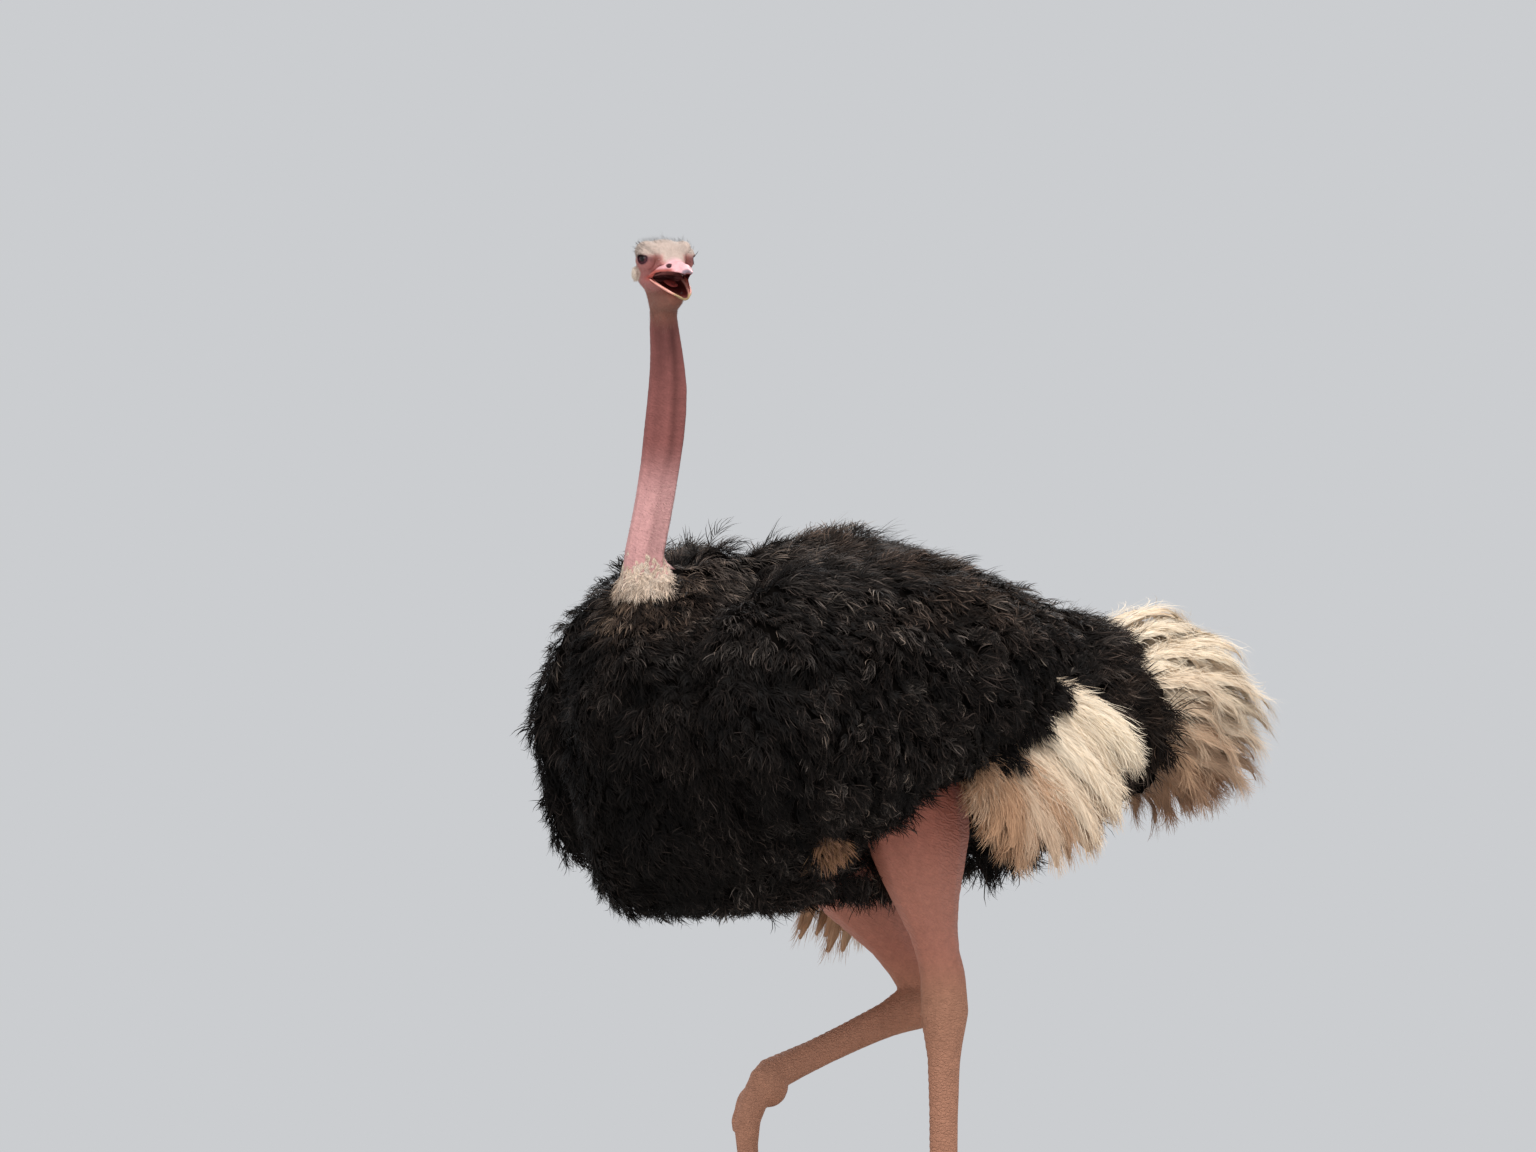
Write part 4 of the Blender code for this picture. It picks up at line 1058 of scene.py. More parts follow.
def growStrips(strips, steps):
    # every strip is a row of quads that narrows to a point; its direction turns about its own axis,
    # and sags a little more at each step
    place, way = strips["roots"].copy(), unit(strips["way"])
    stride = strips["length"] / steps
    points = np.empty((len(place), 2 * steps + 1, 3))
    for k in range(steps):
        t = k / steps
        across = unit(np.cross(way, strips["facing"]))
        half = (strips["width"] * 0.5 * (1 - 0.6 * t))[:, None] * across
        points[:, 2 * k] = place - half
        points[:, 2 * k + 1] = place + half
        place = place + way * stride[:, None]
        way = turnAbout(way, strips["axis"], strips["curl"] / steps)
        way = unit(way - upward * (strips["sag"] / steps)[:, None])
    points[:, 2 * steps] = place
    return points


def meshOf(name, points, loops, starts, tint, patch):
    # a mesh from arrays: its corners, where each face starts, and a colour and unwrap place per point
    mesh = bpy.data.meshes.new(name)
    mesh.vertices.add(len(points))
    mesh.vertices.foreach_set("co", points.reshape(-1))
    mesh.loops.add(len(loops))
    mesh.loops.foreach_set("vertex_index", loops)
    mesh.polygons.add(len(starts))
    mesh.polygons.foreach_set("loop_start", starts)
    mesh.update(calc_edges=True)
    mesh.shade_smooth()
    setColours(mesh, "tint", tint)
    layer = mesh.uv_layers.new(name="OFBake")
    layer.data.foreach_set("uv", patch[loops].reshape(-1))
    made = bpy.data.objects.new(name, mesh)
    bpy.context.scene.collection.objects.link(made)
    return made


patchHalf = 0.0015  # half the width of a tuft's patch on the skin's unwrap


def patchOf(points, middles, reach, uvs):  # a small patch of the skin's unwrap for each tuft
    offset = np.clip(points - middles[:, None, :], -reach, reach)
    return (offset[:, :, :2] * (patchHalf / reach) + uvs[:, None, :]).reshape(-1, 2)


def stripMesh(name, strips, steps):
    points = growStrips(strips, steps)
    count, perStrip = points.shape[:2]
    pattern = []
    for k in range(steps - 1):
        pattern += [2 * k, 2 * k + 1, 2 * k + 3, 2 * k + 2]
    pattern += [2 * steps - 2, 2 * steps - 1, 2 * steps]
    each = np.arange(count)[:, None]
    loops = (np.array(pattern)[None, :] + perStrip * each).reshape(-1)
    starts = (4 * np.arange(steps)[None, :] + len(pattern) * each).reshape(-1)
    along = (np.repeat(np.arange(steps + 1) / steps, 2)[:perStrip])[None, :, None]
    tint = strips["rootTint"][:, None, :] * (1 - along) + strips["tipTint"][:, None, :] * along
    patch = patchOf(points, strips["tuftRoot"], strips["tuftReach"], strips["uv"])
    made = meshOf(name, points.reshape(-1, 3), loops, starts, tint.reshape(-1, 3), patch)
    print(f"{name}: {count} strips, {count * (2 * steps - 1)} triangles")
    return made


class Ground:
    # an unwrapped skin mesh, for roots spread over it and for the place on its unwrap nearest to a point
    def __init__(self, piece):
        mesh = piece.data
        mesh.calc_loop_triangles()
        count = len(mesh.loop_triangles)
        corners = np.empty(count * 3, dtype=np.int64)
        mesh.loop_triangles.foreach_get("vertices", corners)
        loops = np.empty(count * 3, dtype=np.int64)
        mesh.loop_triangles.foreach_get("loops", loops)
        flat = np.empty(len(mesh.loops) * 2)
        mesh.uv_layers[0].data.foreach_get("uv", flat)
        self.corners = corners.reshape(-1, 3)
        self.points = pointsOf(mesh)
        self.normals = normalsOf(mesh)
        self.uvs = flat.reshape(-1, 2)[loops.reshape(-1, 3)]
        self.tree = BVHTree.FromPolygons([Vector(p) for p in self.points], self.corners.tolist())

    def scatter(self, spacing, seed):  # random roots, thinned to about one in each cell of the spacing
        picker = np.random.default_rng(seed)
        a, b, c = (self.points[self.corners[:, k]] for k in range(3))
        area = np.linalg.norm(np.cross(b - a, c - a), axis=1) / 2
        wanted = int(area.sum() / spacing ** 2 * 5)
        chosen = picker.choice(len(area), wanted, p=area / area.sum())
        u, v = picker.random(wanted), picker.random(wanted)
        flip = u + v > 1
        u[flip], v[flip] = 1 - u[flip], 1 - v[flip]
        weights = np.stack([1 - u - v, u, v], axis=1)[:, :, None]
        places = (self.points[self.corners[chosen]] * weights).sum(axis=1)
        _, first = np.unique(np.floor(places / spacing).astype(np.int64), axis=0, return_index=True)
        normals = unit((self.normals[self.corners[chosen]] * weights).sum(axis=1))
        uvs = (self.uvs[chosen] * weights).sum(axis=1)
        return {"at": places[first], "normal": normals[first], "uv": uvs[first]}

    def uvNear(self, places):
        found = []
        for place in places:
            at, _, index, _ = self.tree.find_nearest(Vector(place))
            a, b, c = self.points[self.corners[index]]
            share, *_ = np.linalg.lstsq(np.array([b - a, c - a]).T, np.array(at) - a, rcond=None)
            one, two = np.clip(share, 0, 1)
            corners = self.uvs[index]
            found.append(corners[0] * (1 - one - two) + corners[1] * one + corners[2] * two)
        return np.array(found)


def only(roots, kept):
    return {key: value[kept] for key, value in roots.items()}


def lieOfCoat(points, normals):
    # back and down over the body, down the breast, back along the belly, outward below the neck
    way = np.tile(np.array([0.0, 1.0, -0.55]), (len(points), 1))
    way = blended(way, np.array([0.0, 0.40, -1.0]), ramp(points[:, 1], 0.10, -0.25))
    onBreast = ramp(points[:, 1], -0.30, -0.52)
    way = blended(way, np.array([0.0, 0.25, -1.0]), onBreast)
    onTop = ramp(normals[:, 2], 0.45, 0.85)
    way = blended(way, np.array([0.0, 1.0, 0.0]), onTop * (1 - onBreast))
    way[:, 0] += 0.35 * np.sign(points[:, 0]) * ramp(np.abs(points[:, 0]), 0.02, 0.12) * onTop
    below = ramp(normals[:, 2], -0.35, -0.8)
    way = blended(way, np.array([0.0, 0.9, -0.5]), below)
    outward = points - np.array([0.0, -0.54, 1.33])
    outward[:, 2] = -0.10
    away = np.hypot(outward[:, 0], outward[:, 1])
    atNeck = (1 - ramp(away, 0.12, 0.24)) * ramp(points[:, 2], 1.12, 1.24)
    return onSurface(blended(way, unit(outward) + [0, 0, -0.25], atNeck), normals)


coatLook = {
    "spacing": 0.0180,
    "barbs": 16,  # strips in each tuft
    "steps": 3,  # faces along each strip
    "reach": 0.062,  # a tuft's half size, for its patch on the unwrap
    "swirl": 1.2,  # radians that a clump turns off the lie of the coat
    "clumpScale": 9.0,
    "wisps": 0.06,  # the share of tufts that stand out from the rest
    "glints": 0.10,  # the share of barbs painted brighter, as painted highlights
    # how far glint barbs are painted brighter, as painted highlights, and the brightest they may get
    "shine": 3.2,
    "brightest": paint(112, 98, 88),
    # painted shade at each barb's root, and painted light towards its tip
    "paintedRootShade": 0.28,
    "paintedTipLight": 1.9,
    "hanging": (  # where the tufts hang longest: the place, its reach, and how much longer
        ((-0.02, 0.34, 0.84), (0.24, 0.17, 0.14), 1.1),
        ((0.30, -0.13, 0.92), (0.16, 0.10, 0.10), 0.8),
        ((0.05, 0.02, 0.80), (0.16, 0.17, 0.12), 0.8),
    ),
    "kinds": {  # length, width, curl in radians, rise from the skin, disorder in radians
        "silky": (0.058, 0.0019, 1.2, 0.75, 0.30),
        "curly": (0.042, 0.0024, 3.0, 0.80, 0.60),
        "breast": (0.044, 0.0022, 2.0, 0.75, 0.45),
        "collar": (0.046, 0.0018, 0.9, 0.60, 0.30),
    },
}


def coatKinds(points):  # each root's share of the kinds of feather
    onTop = ramp(points[:, 2], 1.32, 1.44) * ramp(points[:, 1], -0.50, -0.42)
    silky = np.maximum(onTop, ramp(points[:, 1], 0.40, 0.54))
    breast = ramp(points[:, 1], -0.34, -0.48) * (1 - silky)
    collar = (1 - ramp(fromNeck(points)[0], 0.09, 0.15)) * ramp(points[:, 2], 1.22, 1.31)
    rest = 1 - collar
    kinds = {"silky": silky * rest, "breast": breast * rest, "collar": collar}
    kinds["curly"] = 1 - sum(kinds.values())
    return kinds


def tuftStrips(roots, look):
    # one loose feather at each root: barbs on both sides of a short shaft, each with its own curl
    barbs, count = look["barbs"], len(roots["at"])
    share = np.tile(np.linspace(0.0, 1.0, barbs), count)
    side = np.tile(np.where(np.arange(barbs) % 2 == 0, 1.0, -1.0), count)
    owner = np.repeat(np.arange(count), barbs)
    total = len(owner)
    n, way, size = roots["normal"][owner], roots["way"][owner], roots["size"][owner]
    across = np.cross(n, way)
    jitter = rng.normal(size=(total, 3))
    rise = np.broadcast_to(roots.get("rise", look.get("rise")), count)[owner]
    curl = np.broadcast_to(roots.get("curl", look.get("curl")), count)[owner]
    width = np.broadcast_to(roots.get("width", look.get("width")), count)[owner]
    shaft = unit(way + n * (rise * (1 - 0.45 * share))[:, None])
    spread = (0.95 - 0.55 * share) * side * look.get("spread", 1)
    # each barb's tone varies at random, and glint barbs are painted brighter, as painted highlights
    glint = rng.random(total) < np.broadcast_to(roots.get("glint", 0), count)[owner]
    dim = (0.68 + 0.64 * rng.random(total)) * (1 + look.get("shine", 0) * glint)
    tint = roots["tint"][owner]
    colours = np.minimum(tint * dim[:, None], np.maximum(look.get("brightest", 1), tint))
    return {
        "roots": roots["at"][owner] + shaft * (share * 0.55 * size)[:, None],
        "way": shaft + across * spread[:, None] + jitter * 0.16,
        "facing": unit(n + jitter * look.get("facing", 0.30)),
        "length": size * (0.62 + 0.30 * rng.random(total)) * (1.05 - 0.25 * share),
        "width": width * (0.7 + 0.6 * rng.random(total)),
        "axis": unit(n * (side * -0.9)[:, None] + across * (0.9 + 0.4 * jitter[:, :1]) + jitter * 0.35),
        "curl": curl * (0.4 + 1.1 * rng.random(total)),
        "sag": np.full(total, look.get("sag", 0.25)),
        # painted shade at the barb's root, painted light at its tip
        "rootTint": colours * look.get("paintedRootShade", 0.35),
        "tipTint": colours * look.get("paintedTipLight", 1.6),
        "tuftRoot": roots["at"][owner],
        "tuftReach": look["reach"],
        "uv": roots["uv"][owner],
    }


def bareOfCoat(points):  # where the skin shows, so that no tuft roots there
    onNeck = (points[:, 2] > markingsLook["collarFoot"] - 0.008) & (fromNeck(points)[0] < 0.058)
    underWing = np.maximum.reduce([nearness(points, *place) for place in markingsLook["underWings"]]) > 0.08
    tailEdge = 0.612 + 0.050 * hump(points[:, 2], 1.10, 0.11) + 0.05 * waves(points, 14.0, 4.0)
    return onNeck | underWing | (points[:, 1] > tailEdge)


coatBands = (  # pieces of the coat on each side: how far back they go, and how near to the middle
    ("Breast", -0.44, 0.0),
    ("Front", -0.16, 0.10),
    ("Middle", 0.16, 0.10),
    ("Rear", 0.44, 0.10),
)
rumpStart = 0.36  # what the bands leave along the middle is parted here


def partsOfCoat(points):  # each piece's name and its roots, every piece taking those that are still free
    across, back = points[:, 0], points[:, 1]
    parts = [(f"coat{side.title()}{band}", (across * sign >= middle) & (back < end))
             for band, end, middle in coatBands for side, sign in sides.items()]
    free = np.ones(len(points), dtype=bool)
    for name, inside in parts + [("coatBack", back < rumpStart), ("coatRump", back >= rumpStart)]:
        yield name, free & inside
        free &= ~inside


def makeCoat(ground, material):
    roots = ground.scatter(coatLook["spacing"], 21)
    roots = only(roots, ~bareOfCoat(roots["at"]))
    points, count = roots["at"], len(roots["at"])
    shuffle = rng.random(count)
    kinds = coatKinds(points)
    length, width, curl, rise, disorder = (
        sum(kinds[kind] * coatLook["kinds"][kind][n] for kind in kinds) for n in range(5))
    clump = clumpsOf(points) - 0.45
    swirl = coatLook["swirl"] * waves(points, coatLook["clumpScale"], 5.0) * (1 - kinds["collar"])
    roots["way"] = turnAbout(lieOfCoat(points, roots["normal"]), roots["normal"],
                             swirl + rng.normal(size=count) * disorder)
    wisp = rng.random(count) < coatLook["wisps"] * (1 - 0.7 * kinds["breast"])
    roots["size"] = length * (0.80 + 0.40 * rng.random(count)) * (1 + 0.30 * clump) * (1 + 0.30 * wisp)
    peak = nearness(points, (0.05, -0.365, 1.49), (0.10, 0.055, 0.09))
    shoulder = nearness(points, (-0.13, -0.54, 1.42), (0.12, 0.10, 0.12))
    hanging = sum(nearness(points, place, reach) * more for place, reach, more in coatLook["hanging"])
    onFlank = nearness(points, markingsLook["flankTufts"], markingsLook["flankReach"])
    buff = ramp(onFlank + 0.3 * shuffle, 0.3, 0.5)
    roots["size"] *= 1 - 0.35 * inDip(points) + 0.7 * peak + 0.5 * shoulder + hanging
    roots["way"] = unit(roots["way"] - upward * (1.3 * hanging + 1.5 * buff)[:, None])
    roots["width"] = width
    roots["rise"] = rise * (1 + 0.5 * clump) + 0.35 * wisp + 1.2 * peak + 0.6 * shoulder
    roots["curl"] = curl * (1 - 0.5 * wisp) * (1 - 0.85 * buff)
    # painted shade: darker in the creases between clumps, lighter on their tops, and darker over the breast
    shade = (1 + 1.1 * clump) * (1 - 0.18 * kinds["breast"])
    roots["tint"] = plumageColour(points, shuffle) * shade[:, None]
    roots["tint"] = blended(roots["tint"], plumageColours["tan"] * 0.62, buff)
    # painted highlights: more glint barbs on the clumps' tops, fewer over the shaded breast
    roots["glint"] = coatLook["glints"] * np.clip(1 + 3 * clump, 0, 3) * (1 - 0.5 * kinds["breast"])
    for name, mine in partsOfCoat(points):
        piece = stripMesh(name, tuftStrips(only(roots, mine), coatLook), coatLook["steps"])
        finishPiece(piece, material, "black_plumage")


def bezier(a, b, c, d, t):
    s = 1 - t
    return a * s ** 3 + b * 3 * s * s * t + c * 3 * s * t * t + d * t ** 3


def plumeFrames(paths, facing):  # the way along each plume at each station, the way across, and its face
    along = unit(np.gradient(paths, axis=1))
    across = unit(np.cross(np.broadcast_to(facing[:, None, :], along.shape), along))
    return along, across, np.cross(along, across)


def vaneMesh(name, plumes, look):
    # each plume's soft web: a ribbon cupped over its shaft, with a ragged edge
    paths = plumes["paths"]
    count, stations = paths.shape[:2]
    along, across, face = plumeFrames(paths, plumes["facing"])
    t = np.linspace(0, 1, stations)[None, :, None]
    lane = np.linspace(-1, 1, look["lanes"])[None, None, :]
    offset = plumes["number"][:, None, None] * 7.3
    half = look["vane"] * plumes["wide"][:, None, None] * np.sin(np.pi * (0.10 + 0.88 * t)) ** 0.7
    half = half * (1 + 0.10 * np.sin(t * 17 + offset + lane * 1.7) + 0.06 * np.sin(t * 51 + offset * 2))
    shifted = lane * half
    raised = 0.10 * half * np.sin(lane * 5 + t * 9 + offset) - look["cup"] * lane ** 2 * half
    points = (paths[:, :, None, :] + across[:, :, None, :] * shifted[..., None]
              + face[:, :, None, :] * raised[..., None]
              - along[:, :, None, :] * (np.abs(lane) * half * 0.5)[..., None])
    lanes = look["lanes"]
    grid = np.arange(stations * lanes).reshape(stations, lanes)
    quads = np.stack([grid[:-1, :-1], grid[:-1, 1:], grid[1:, 1:], grid[1:, :-1]], axis=-1).reshape(-1)
    loops = (quads[None, :] + stations * lanes * np.arange(count)[:, None]).reshape(-1)
    # painted shade: each web darker at its root and at its falling edges
    shade = look["shade"] * (0.92 + 0.14 * t - 0.22 * lane ** 2)
    tint = (plumes["tint"][:, None, None, :] * np.broadcast_to(shade, half.shape)[..., None]).reshape(-1, 3)
    patch = patchOf(points.reshape(count, -1, 3), paths[:, stations // 2], 0.2, plumes["uv"])
    made = meshOf(name, points.reshape(-1, 3), loops, np.arange(0, len(loops), 4), tint, patch)
    length = np.linalg.norm(np.diff(paths, axis=1), axis=2).sum(axis=1)[:, None, None]
    grain = [t * length - 0.9 * np.abs(shifted), shifted, np.broadcast_to(offset, half.shape)]
    setColours(made.data, "grain", np.stack(grain, axis=-1).reshape(-1, 3))
    print(f"{name}: {count} vanes, {len(loops) // 2} triangles")
    return made


def filamentStrips(plumes, look):
    # fine barbs that leave the vane at a slant, longest and most open at the plume's edge and tip
    paths = plumes["paths"]
    count, stations = paths.shape[:2]
    owner = np.repeat(np.arange(count), look["filaments"])
    total = len(owner)
    share = look["bare"] + (0.99 - look["bare"]) * rng.random(total)
    lane = np.clip(rng.normal(size=total) * 0.55, -1, 1)
    at = share * (stations - 1)
    low = np.floor(at).astype(int)
    part = (at - low)[:, None]
    along, across, face = (field[owner, low] for field in plumeFrames(paths, plumes["facing"]))
    here = paths[owner, low] * (1 - part) + paths[owner, low + 1] * part
    half = look["vane"] * plumes["wide"][owner] * np.sin(np.pi * (0.10 + 0.82 * share)) ** 0.7
    jitter = rng.normal(size=(total, 3))
    here = here + across * (lane * half)[:, None] - along * (np.abs(lane) * half * 0.5)[:, None]
    here += face * (0.003 - look["cup"] * lane * lane * half + 0.003 * jitter[:, 0])[:, None]
    slant = (np.radians(5 + 20 * np.abs(lane) * (1.1 - share)) * np.sign(lane))[:, None]
    swell = 0.60 + 0.40 * np.sin(np.pi * share)
    shade = (0.80 + 0.36 * rng.random(total))[:, None]
    locks = np.sin(plumes["number"][owner] * 2.4 + share * 9)
    return {
        "roots": here,
        "way": along * np.cos(slant) + across * np.sin(slant) + face * 0.05 + jitter * 0.07,
        "facing": unit(face + jitter * 0.14),
        "length": look["length"] * swell * (0.6 + 0.7 * rng.random(total)),
        "width": look["width"] * (0.7 + 0.6 * rng.random(total)),
        "axis": unit(face * np.sign(lane)[:, None] * 0.7 + jitter * 0.4),
        "curl": look["curl"] * (locks + 0.6 * rng.normal(size=total)),
        "sag": look["sag"] * (0.5 + rng.random(total)),
        # painted shade: each barb a little darker at its root than at its tip; its tone also varies at
        # random
        "rootTint": plumes["tint"][owner] * shade * 0.88,
        "tipTint": plumes["tint"][owner] * shade * 1.04,
        "tuftRoot": here,
        "tuftReach": look["length"],
        "uv": plumes["uv"][owner],
    }


def makePlumes(name, plumes, look, vane, feather, slot, *replaced):
    finishPiece(vaneMesh(name + "Vanes", plumes, look), vane, slot, *replaced)
    finishPiece(stripMesh(name, filamentStrips(plumes, look), look["steps"]), feather, slot)


wingPlumes = {
    "count": 52,
    "filaments": 260,  # fine barbs on each plume
    "lanes": 9,  # points across each plume's web
    "vane": 0.034,  # half the web's width
    "cup": 0.30,  # how much the web's edges fall away
    "shade": 0.97,
    "length": 0.055,  # of the fine barbs, as are width, curl and sag
    "width": 0.0011,
    "bare": 0.10,  # the share of the plume, from its root, without them
    "curl": 0.7,
    "sag": 0.30,
    "steps": 4,
    # on the left wing, from front to back: where the plumes start and where they end
    "roots": ((0.272, 0.036, 1.050), (0.272, 0.092, 1.054), (0.270, 0.140, 1.076), (0.266, 0.185, 1.126),
              (0.260, 0.240, 1.168), (0.252, 0.300, 1.186)),
    "tips": ((0.335, 0.066, 0.950), (0.345, 0.095, 0.870), (0.355, 0.165, 0.808), (0.362, 0.240, 0.790),
             (0.368, 0.315, 0.830), (0.372, 0.385, 0.870), (0.374, 0.435, 0.940), (0.370, 0.470, 1.005),
             (0.362, 0.452, 1.050)),
    "facing": (1.0, -0.15, 0.30),
    "bulge": (0.036, 0.030, 0.012),  # how far the plumes' middles stand out
    "forward": (0.0, -0.030, -0.020),  # how the front plumes' tips turn
    "droop": {"left": 0.0, "right": 0.17},  # how far the tips hang below the ones above
    "ahead": {"left": 0.0, "right": 0.04},
}


coverts = {
    "count": 260,  # tufts on each side
    "up": 0.16,  # how far above the plumes' roots they start
    "down": (0.06, 0.08, 0.17, 0.12, 0.08, 0.08),  # how far over the plumes they reach, from front to back
    "outside": 0.030,  # how far outside the plumes they lie
    "size": 0.048,
    "width": 0.0024,
    "curl": 1.8,
    "rise": 0.25,
}


def makeCoverts(side, ground, material):  # black tufts that lie over the roots of the wing's plumes
    look, count = coverts, coverts["count"]
    mirror = np.array([sides[side], 1, 1])
    t = rng.random(count)
    starts, tips = alongLine(wingPlumes["roots"], t), alongLine(wingPlumes["tips"], t)
    tips[:, 2] -= wingPlumes["droop"][side]
    down = np.interp(t, np.linspace(0, 1, len(look["down"])), look["down"])
    ragged = (down + look["up"]) * (1 + 0.15 * np.sin(t * 31)) * rng.random(count) - look["up"]
    places = starts + (tips - starts) * ragged[:, None]
    places[:, 0] += look["outside"]
    normals = np.tile(unit(np.array(wingPlumes["facing"])), (count, 1))
    ways = onSurface(tips - starts, normals)
    roots = {
        "at": places * mirror,
        "normal": normals * mirror,
        "uv": ground.uvNear(places * mirror),
        "way": unit(ways + rng.normal(size=(count, 3)) * 0.25) * mirror,
        "size": look["size"] * (0.8 + 0.4 * rng.random(count)),
        "tint": np.tile(plumageColours["black"], (count, 1)) * (0.8 + 0.8 * rng.random((count, 1))),
        "width": look["width"],
        "curl": look["curl"],
        "rise": look["rise"],
        "glint": coatLook["glints"],
    }
    piece = stripMesh(f"{side}Coverts", tuftStrips(roots, coatLook), coatLook["steps"])
    finishPiece(piece, material, "black_plumage")


def makeWingPlumes(side, ground, vane, feather):
    look = wingPlumes
    mirror = np.array([sides[side], 1, 1])
    count = look["count"]
    t = (np.arange(count) * 0.618034) % 1.0
    layer = rng.random(count)
    starts = alongLine(look["roots"], t) + rng.normal(size=(count, 3)) * [0.008, 0.010, 0.012]
    tips = alongLine(look["tips"], np.clip(t + rng.normal(size=count) * 0.05, 0, 1))
    tips[:, 2] -= look["droop"][side]
    tips = starts + (tips - starts) * (0.78 + 0.22 * rng.random(count))[:, None]
    tips[:, 0] += 0.010 - 0.060 * layer
    starts[:, 0] -= 0.030 * layer
    bulge = np.array(look["bulge"])
    near = starts + (tips - starts) * 0.33 + bulge
    far = starts + (tips - starts) * 0.75 + bulge * 0.8
    far -= np.array(look["forward"]) * ramp(t, 0.45, 0.0)[:, None]
    steps = np.linspace(0, 1, 15)
    tint = np.tile(plumageColours["cream"], (count, 1))
    tint = blended(tint, plumageColours["buff"], np.clip(0.9 * layer - 0.4 * ramp(t, 0.6, 0.9), 0, 1))
    # painted shade: tan over the front and middle plumes and over those whose tips hang lowest
    tint = blended(tint, plumageColours["tan"], ramp(t, 0.70, 0.12) * (0.35 + 0.60 * rng.random(count)))
    tint = blended(tint, plumageColours["tan"], 0.8 * ramp(tips[:, 2], 0.97, 0.84) * rng.random(count))
    tips[:, 1] -= look["ahead"][side]
    paths = np.stack([bezier(starts, near, far, tips, s) for s in steps], axis=1) * mirror
    plumes = {
        "paths": paths,
        "facing": np.tile(unit(np.array(look["facing"]) * mirror), (count, 1)),
        "wide": 0.75 + 0.5 * rng.random(count),
        "number": np.arange(count),
        # painted shade: the far, right wing's plumes half buff
        "tint": blended(tint, plumageColours["buff"], np.full(count, 0.5 * (side == "right"))),
        "uv": ground.uvNear(paths[:, 6]),
    }
    makePlumes(f"{side}Plumes", plumes, look, vane, feather, "pale_plumage", "plumes_" + side)


tailPlumes = {
    "count": 150,
    "filaments": 165,
    "lanes": 7,
    "vane": 0.021,
    "cup": 0.30,
    "shade": 1.05,
    "length": 0.066,
    "width": 0.0012,
    "bare": 0.18,
    "curl": 1.2,
    "sag": 0.80,
    "steps": 4,
    "root": (0.0, 0.575, 1.150),  # the middle of the disc that they grow from, and its half sizes
    "rootDisc": (0.115, 0.020, 0.120),
    "heart": (0.0, 0.795, 1.125),  # the middle of the ball that they fill, and its half sizes
    "reach": (0.190, 0.220, 0.215),
    "lift": (0, 0.020, 0.050),  # how far each one arches, and how far its tip hangs
    "droop": (0, -0.004, -0.022),
}


def makeTail(ground, vane, feather):
    look = tailPlumes
    count = look["count"]
    spin = np.arange(count) * 2.399963
    rise = 1 - 2 * (np.arange(count) + 0.5) / count
    flat = np.sqrt(1 - rise * rise)
    way = unit(np.stack([flat * np.cos(spin), flat * np.sin(spin) + 0.40, rise], axis=1))
    depth = (0.66 + 0.32 * rng.random(count) ** 0.7)[:, None]
    tips = np.array(look["heart"]) + way * np.array(look["reach"]) * depth + look["droop"]
    starts = np.array(look["root"]) + way * np.array(look["rootDisc"])
    lift = np.array(look["lift"])
    out = starts + (tips - starts) * 0.45 + way * [0.05, 0.0, 0.04] + lift
    over = starts + (tips - starts) * 0.90 + lift * [1, 1, 1.1]
    steps = np.linspace(0, 1, 15)
    tint = np.tile(plumageColours["cream"], (count, 1))
    # buff at random, less on top, where the plumes are painted lighter; tan and umber painted under the
    # tail as painted shade
    tint = blended(tint, plumageColours["buff"],
                   0.75 * rng.random(count) ** 1.6 * (1 - 0.8 * ramp(way[:, 2], -0.1, 0.4)))
    tint = blended(tint, plumageColours["tan"], 0.70 * ramp(way[:, 2], 0.10, -0.7))
    tint = blended(tint, plumageColours["umberShade"], 0.60 * ramp(way[:, 2], -0.55, -0.95))
    plumes = {
        "paths": np.stack([bezier(starts, out, over, tips, s) for s in steps], axis=1),
        "facing": unit(way + [0, 0.2, 0.5]),
        "wide": 0.75 + 0.5 * rng.random(count),
        "number": np.arange(count),
        "tint": tint,
        "uv": ground.uvNear(starts + way * 0.12),
    }
    makePlumes("tailPlumes", plumes, look, vane, feather, "pale_plumage", "tail")


def fineGround():  # the head and neck as they leave the frame, unwrapped
    piece = unwrapped(objectFrom(flesh(neckNodes), "fineGround"))
    ground = Ground(piece)
    bpy.data.objects.remove(piece)
    return ground


def treeOf(mesh):  # with the faces in a fixed order, because the weld's own order changes from run to run
    points = pointsOf(mesh)
    order = np.lexsort(points.T)
    place = np.empty_like(order)
    place[order] = np.arange(len(order))
    rings = []
    for face in mesh.polygons:
        ring = place[list(face.vertices)].tolist()
        start = ring.index(min(ring))
        rings.append(ring[start:] + ring[:start])
    return BVHTree.FromPolygons(points[order].tolist(), sorted(rings))


def onSkin(tree, roots, reach):  # roots moved to the nearest skin, and those with no skin near them dropped
    placed, faces, good = [], [], []
    for point, normal in zip(roots["at"], roots["normal"]):
        at, face, _, _ = tree.find_nearest(Vector(point), reach)
        good.append(at is not None and face.dot(Vector(normal)) > 0.3)
        placed.append(at or point)
        faces.append(face or normal)
    roots["at"] = np.array(placed, dtype=float)
    roots["normal"] = np.array(faces, dtype=float)
    return only(roots, np.array(good))


collarLook = {
    "spacing": 0.0066,
    "short": 0.013,  # at the top
    "long": 0.038,  # at the foot, where they fan out over the coat
    "reach": 0.045,
    "barbs": 12,
    "width": 0.0011,
    "steps": 4,
    "curl": 0.5,
    "sag": 0.15,
    "facing": 0.4,
    # painted shade at each barb's root, painted light at its tip
    "paintedRootShade": 0.85,
    "paintedTipLight": 1.1,
}


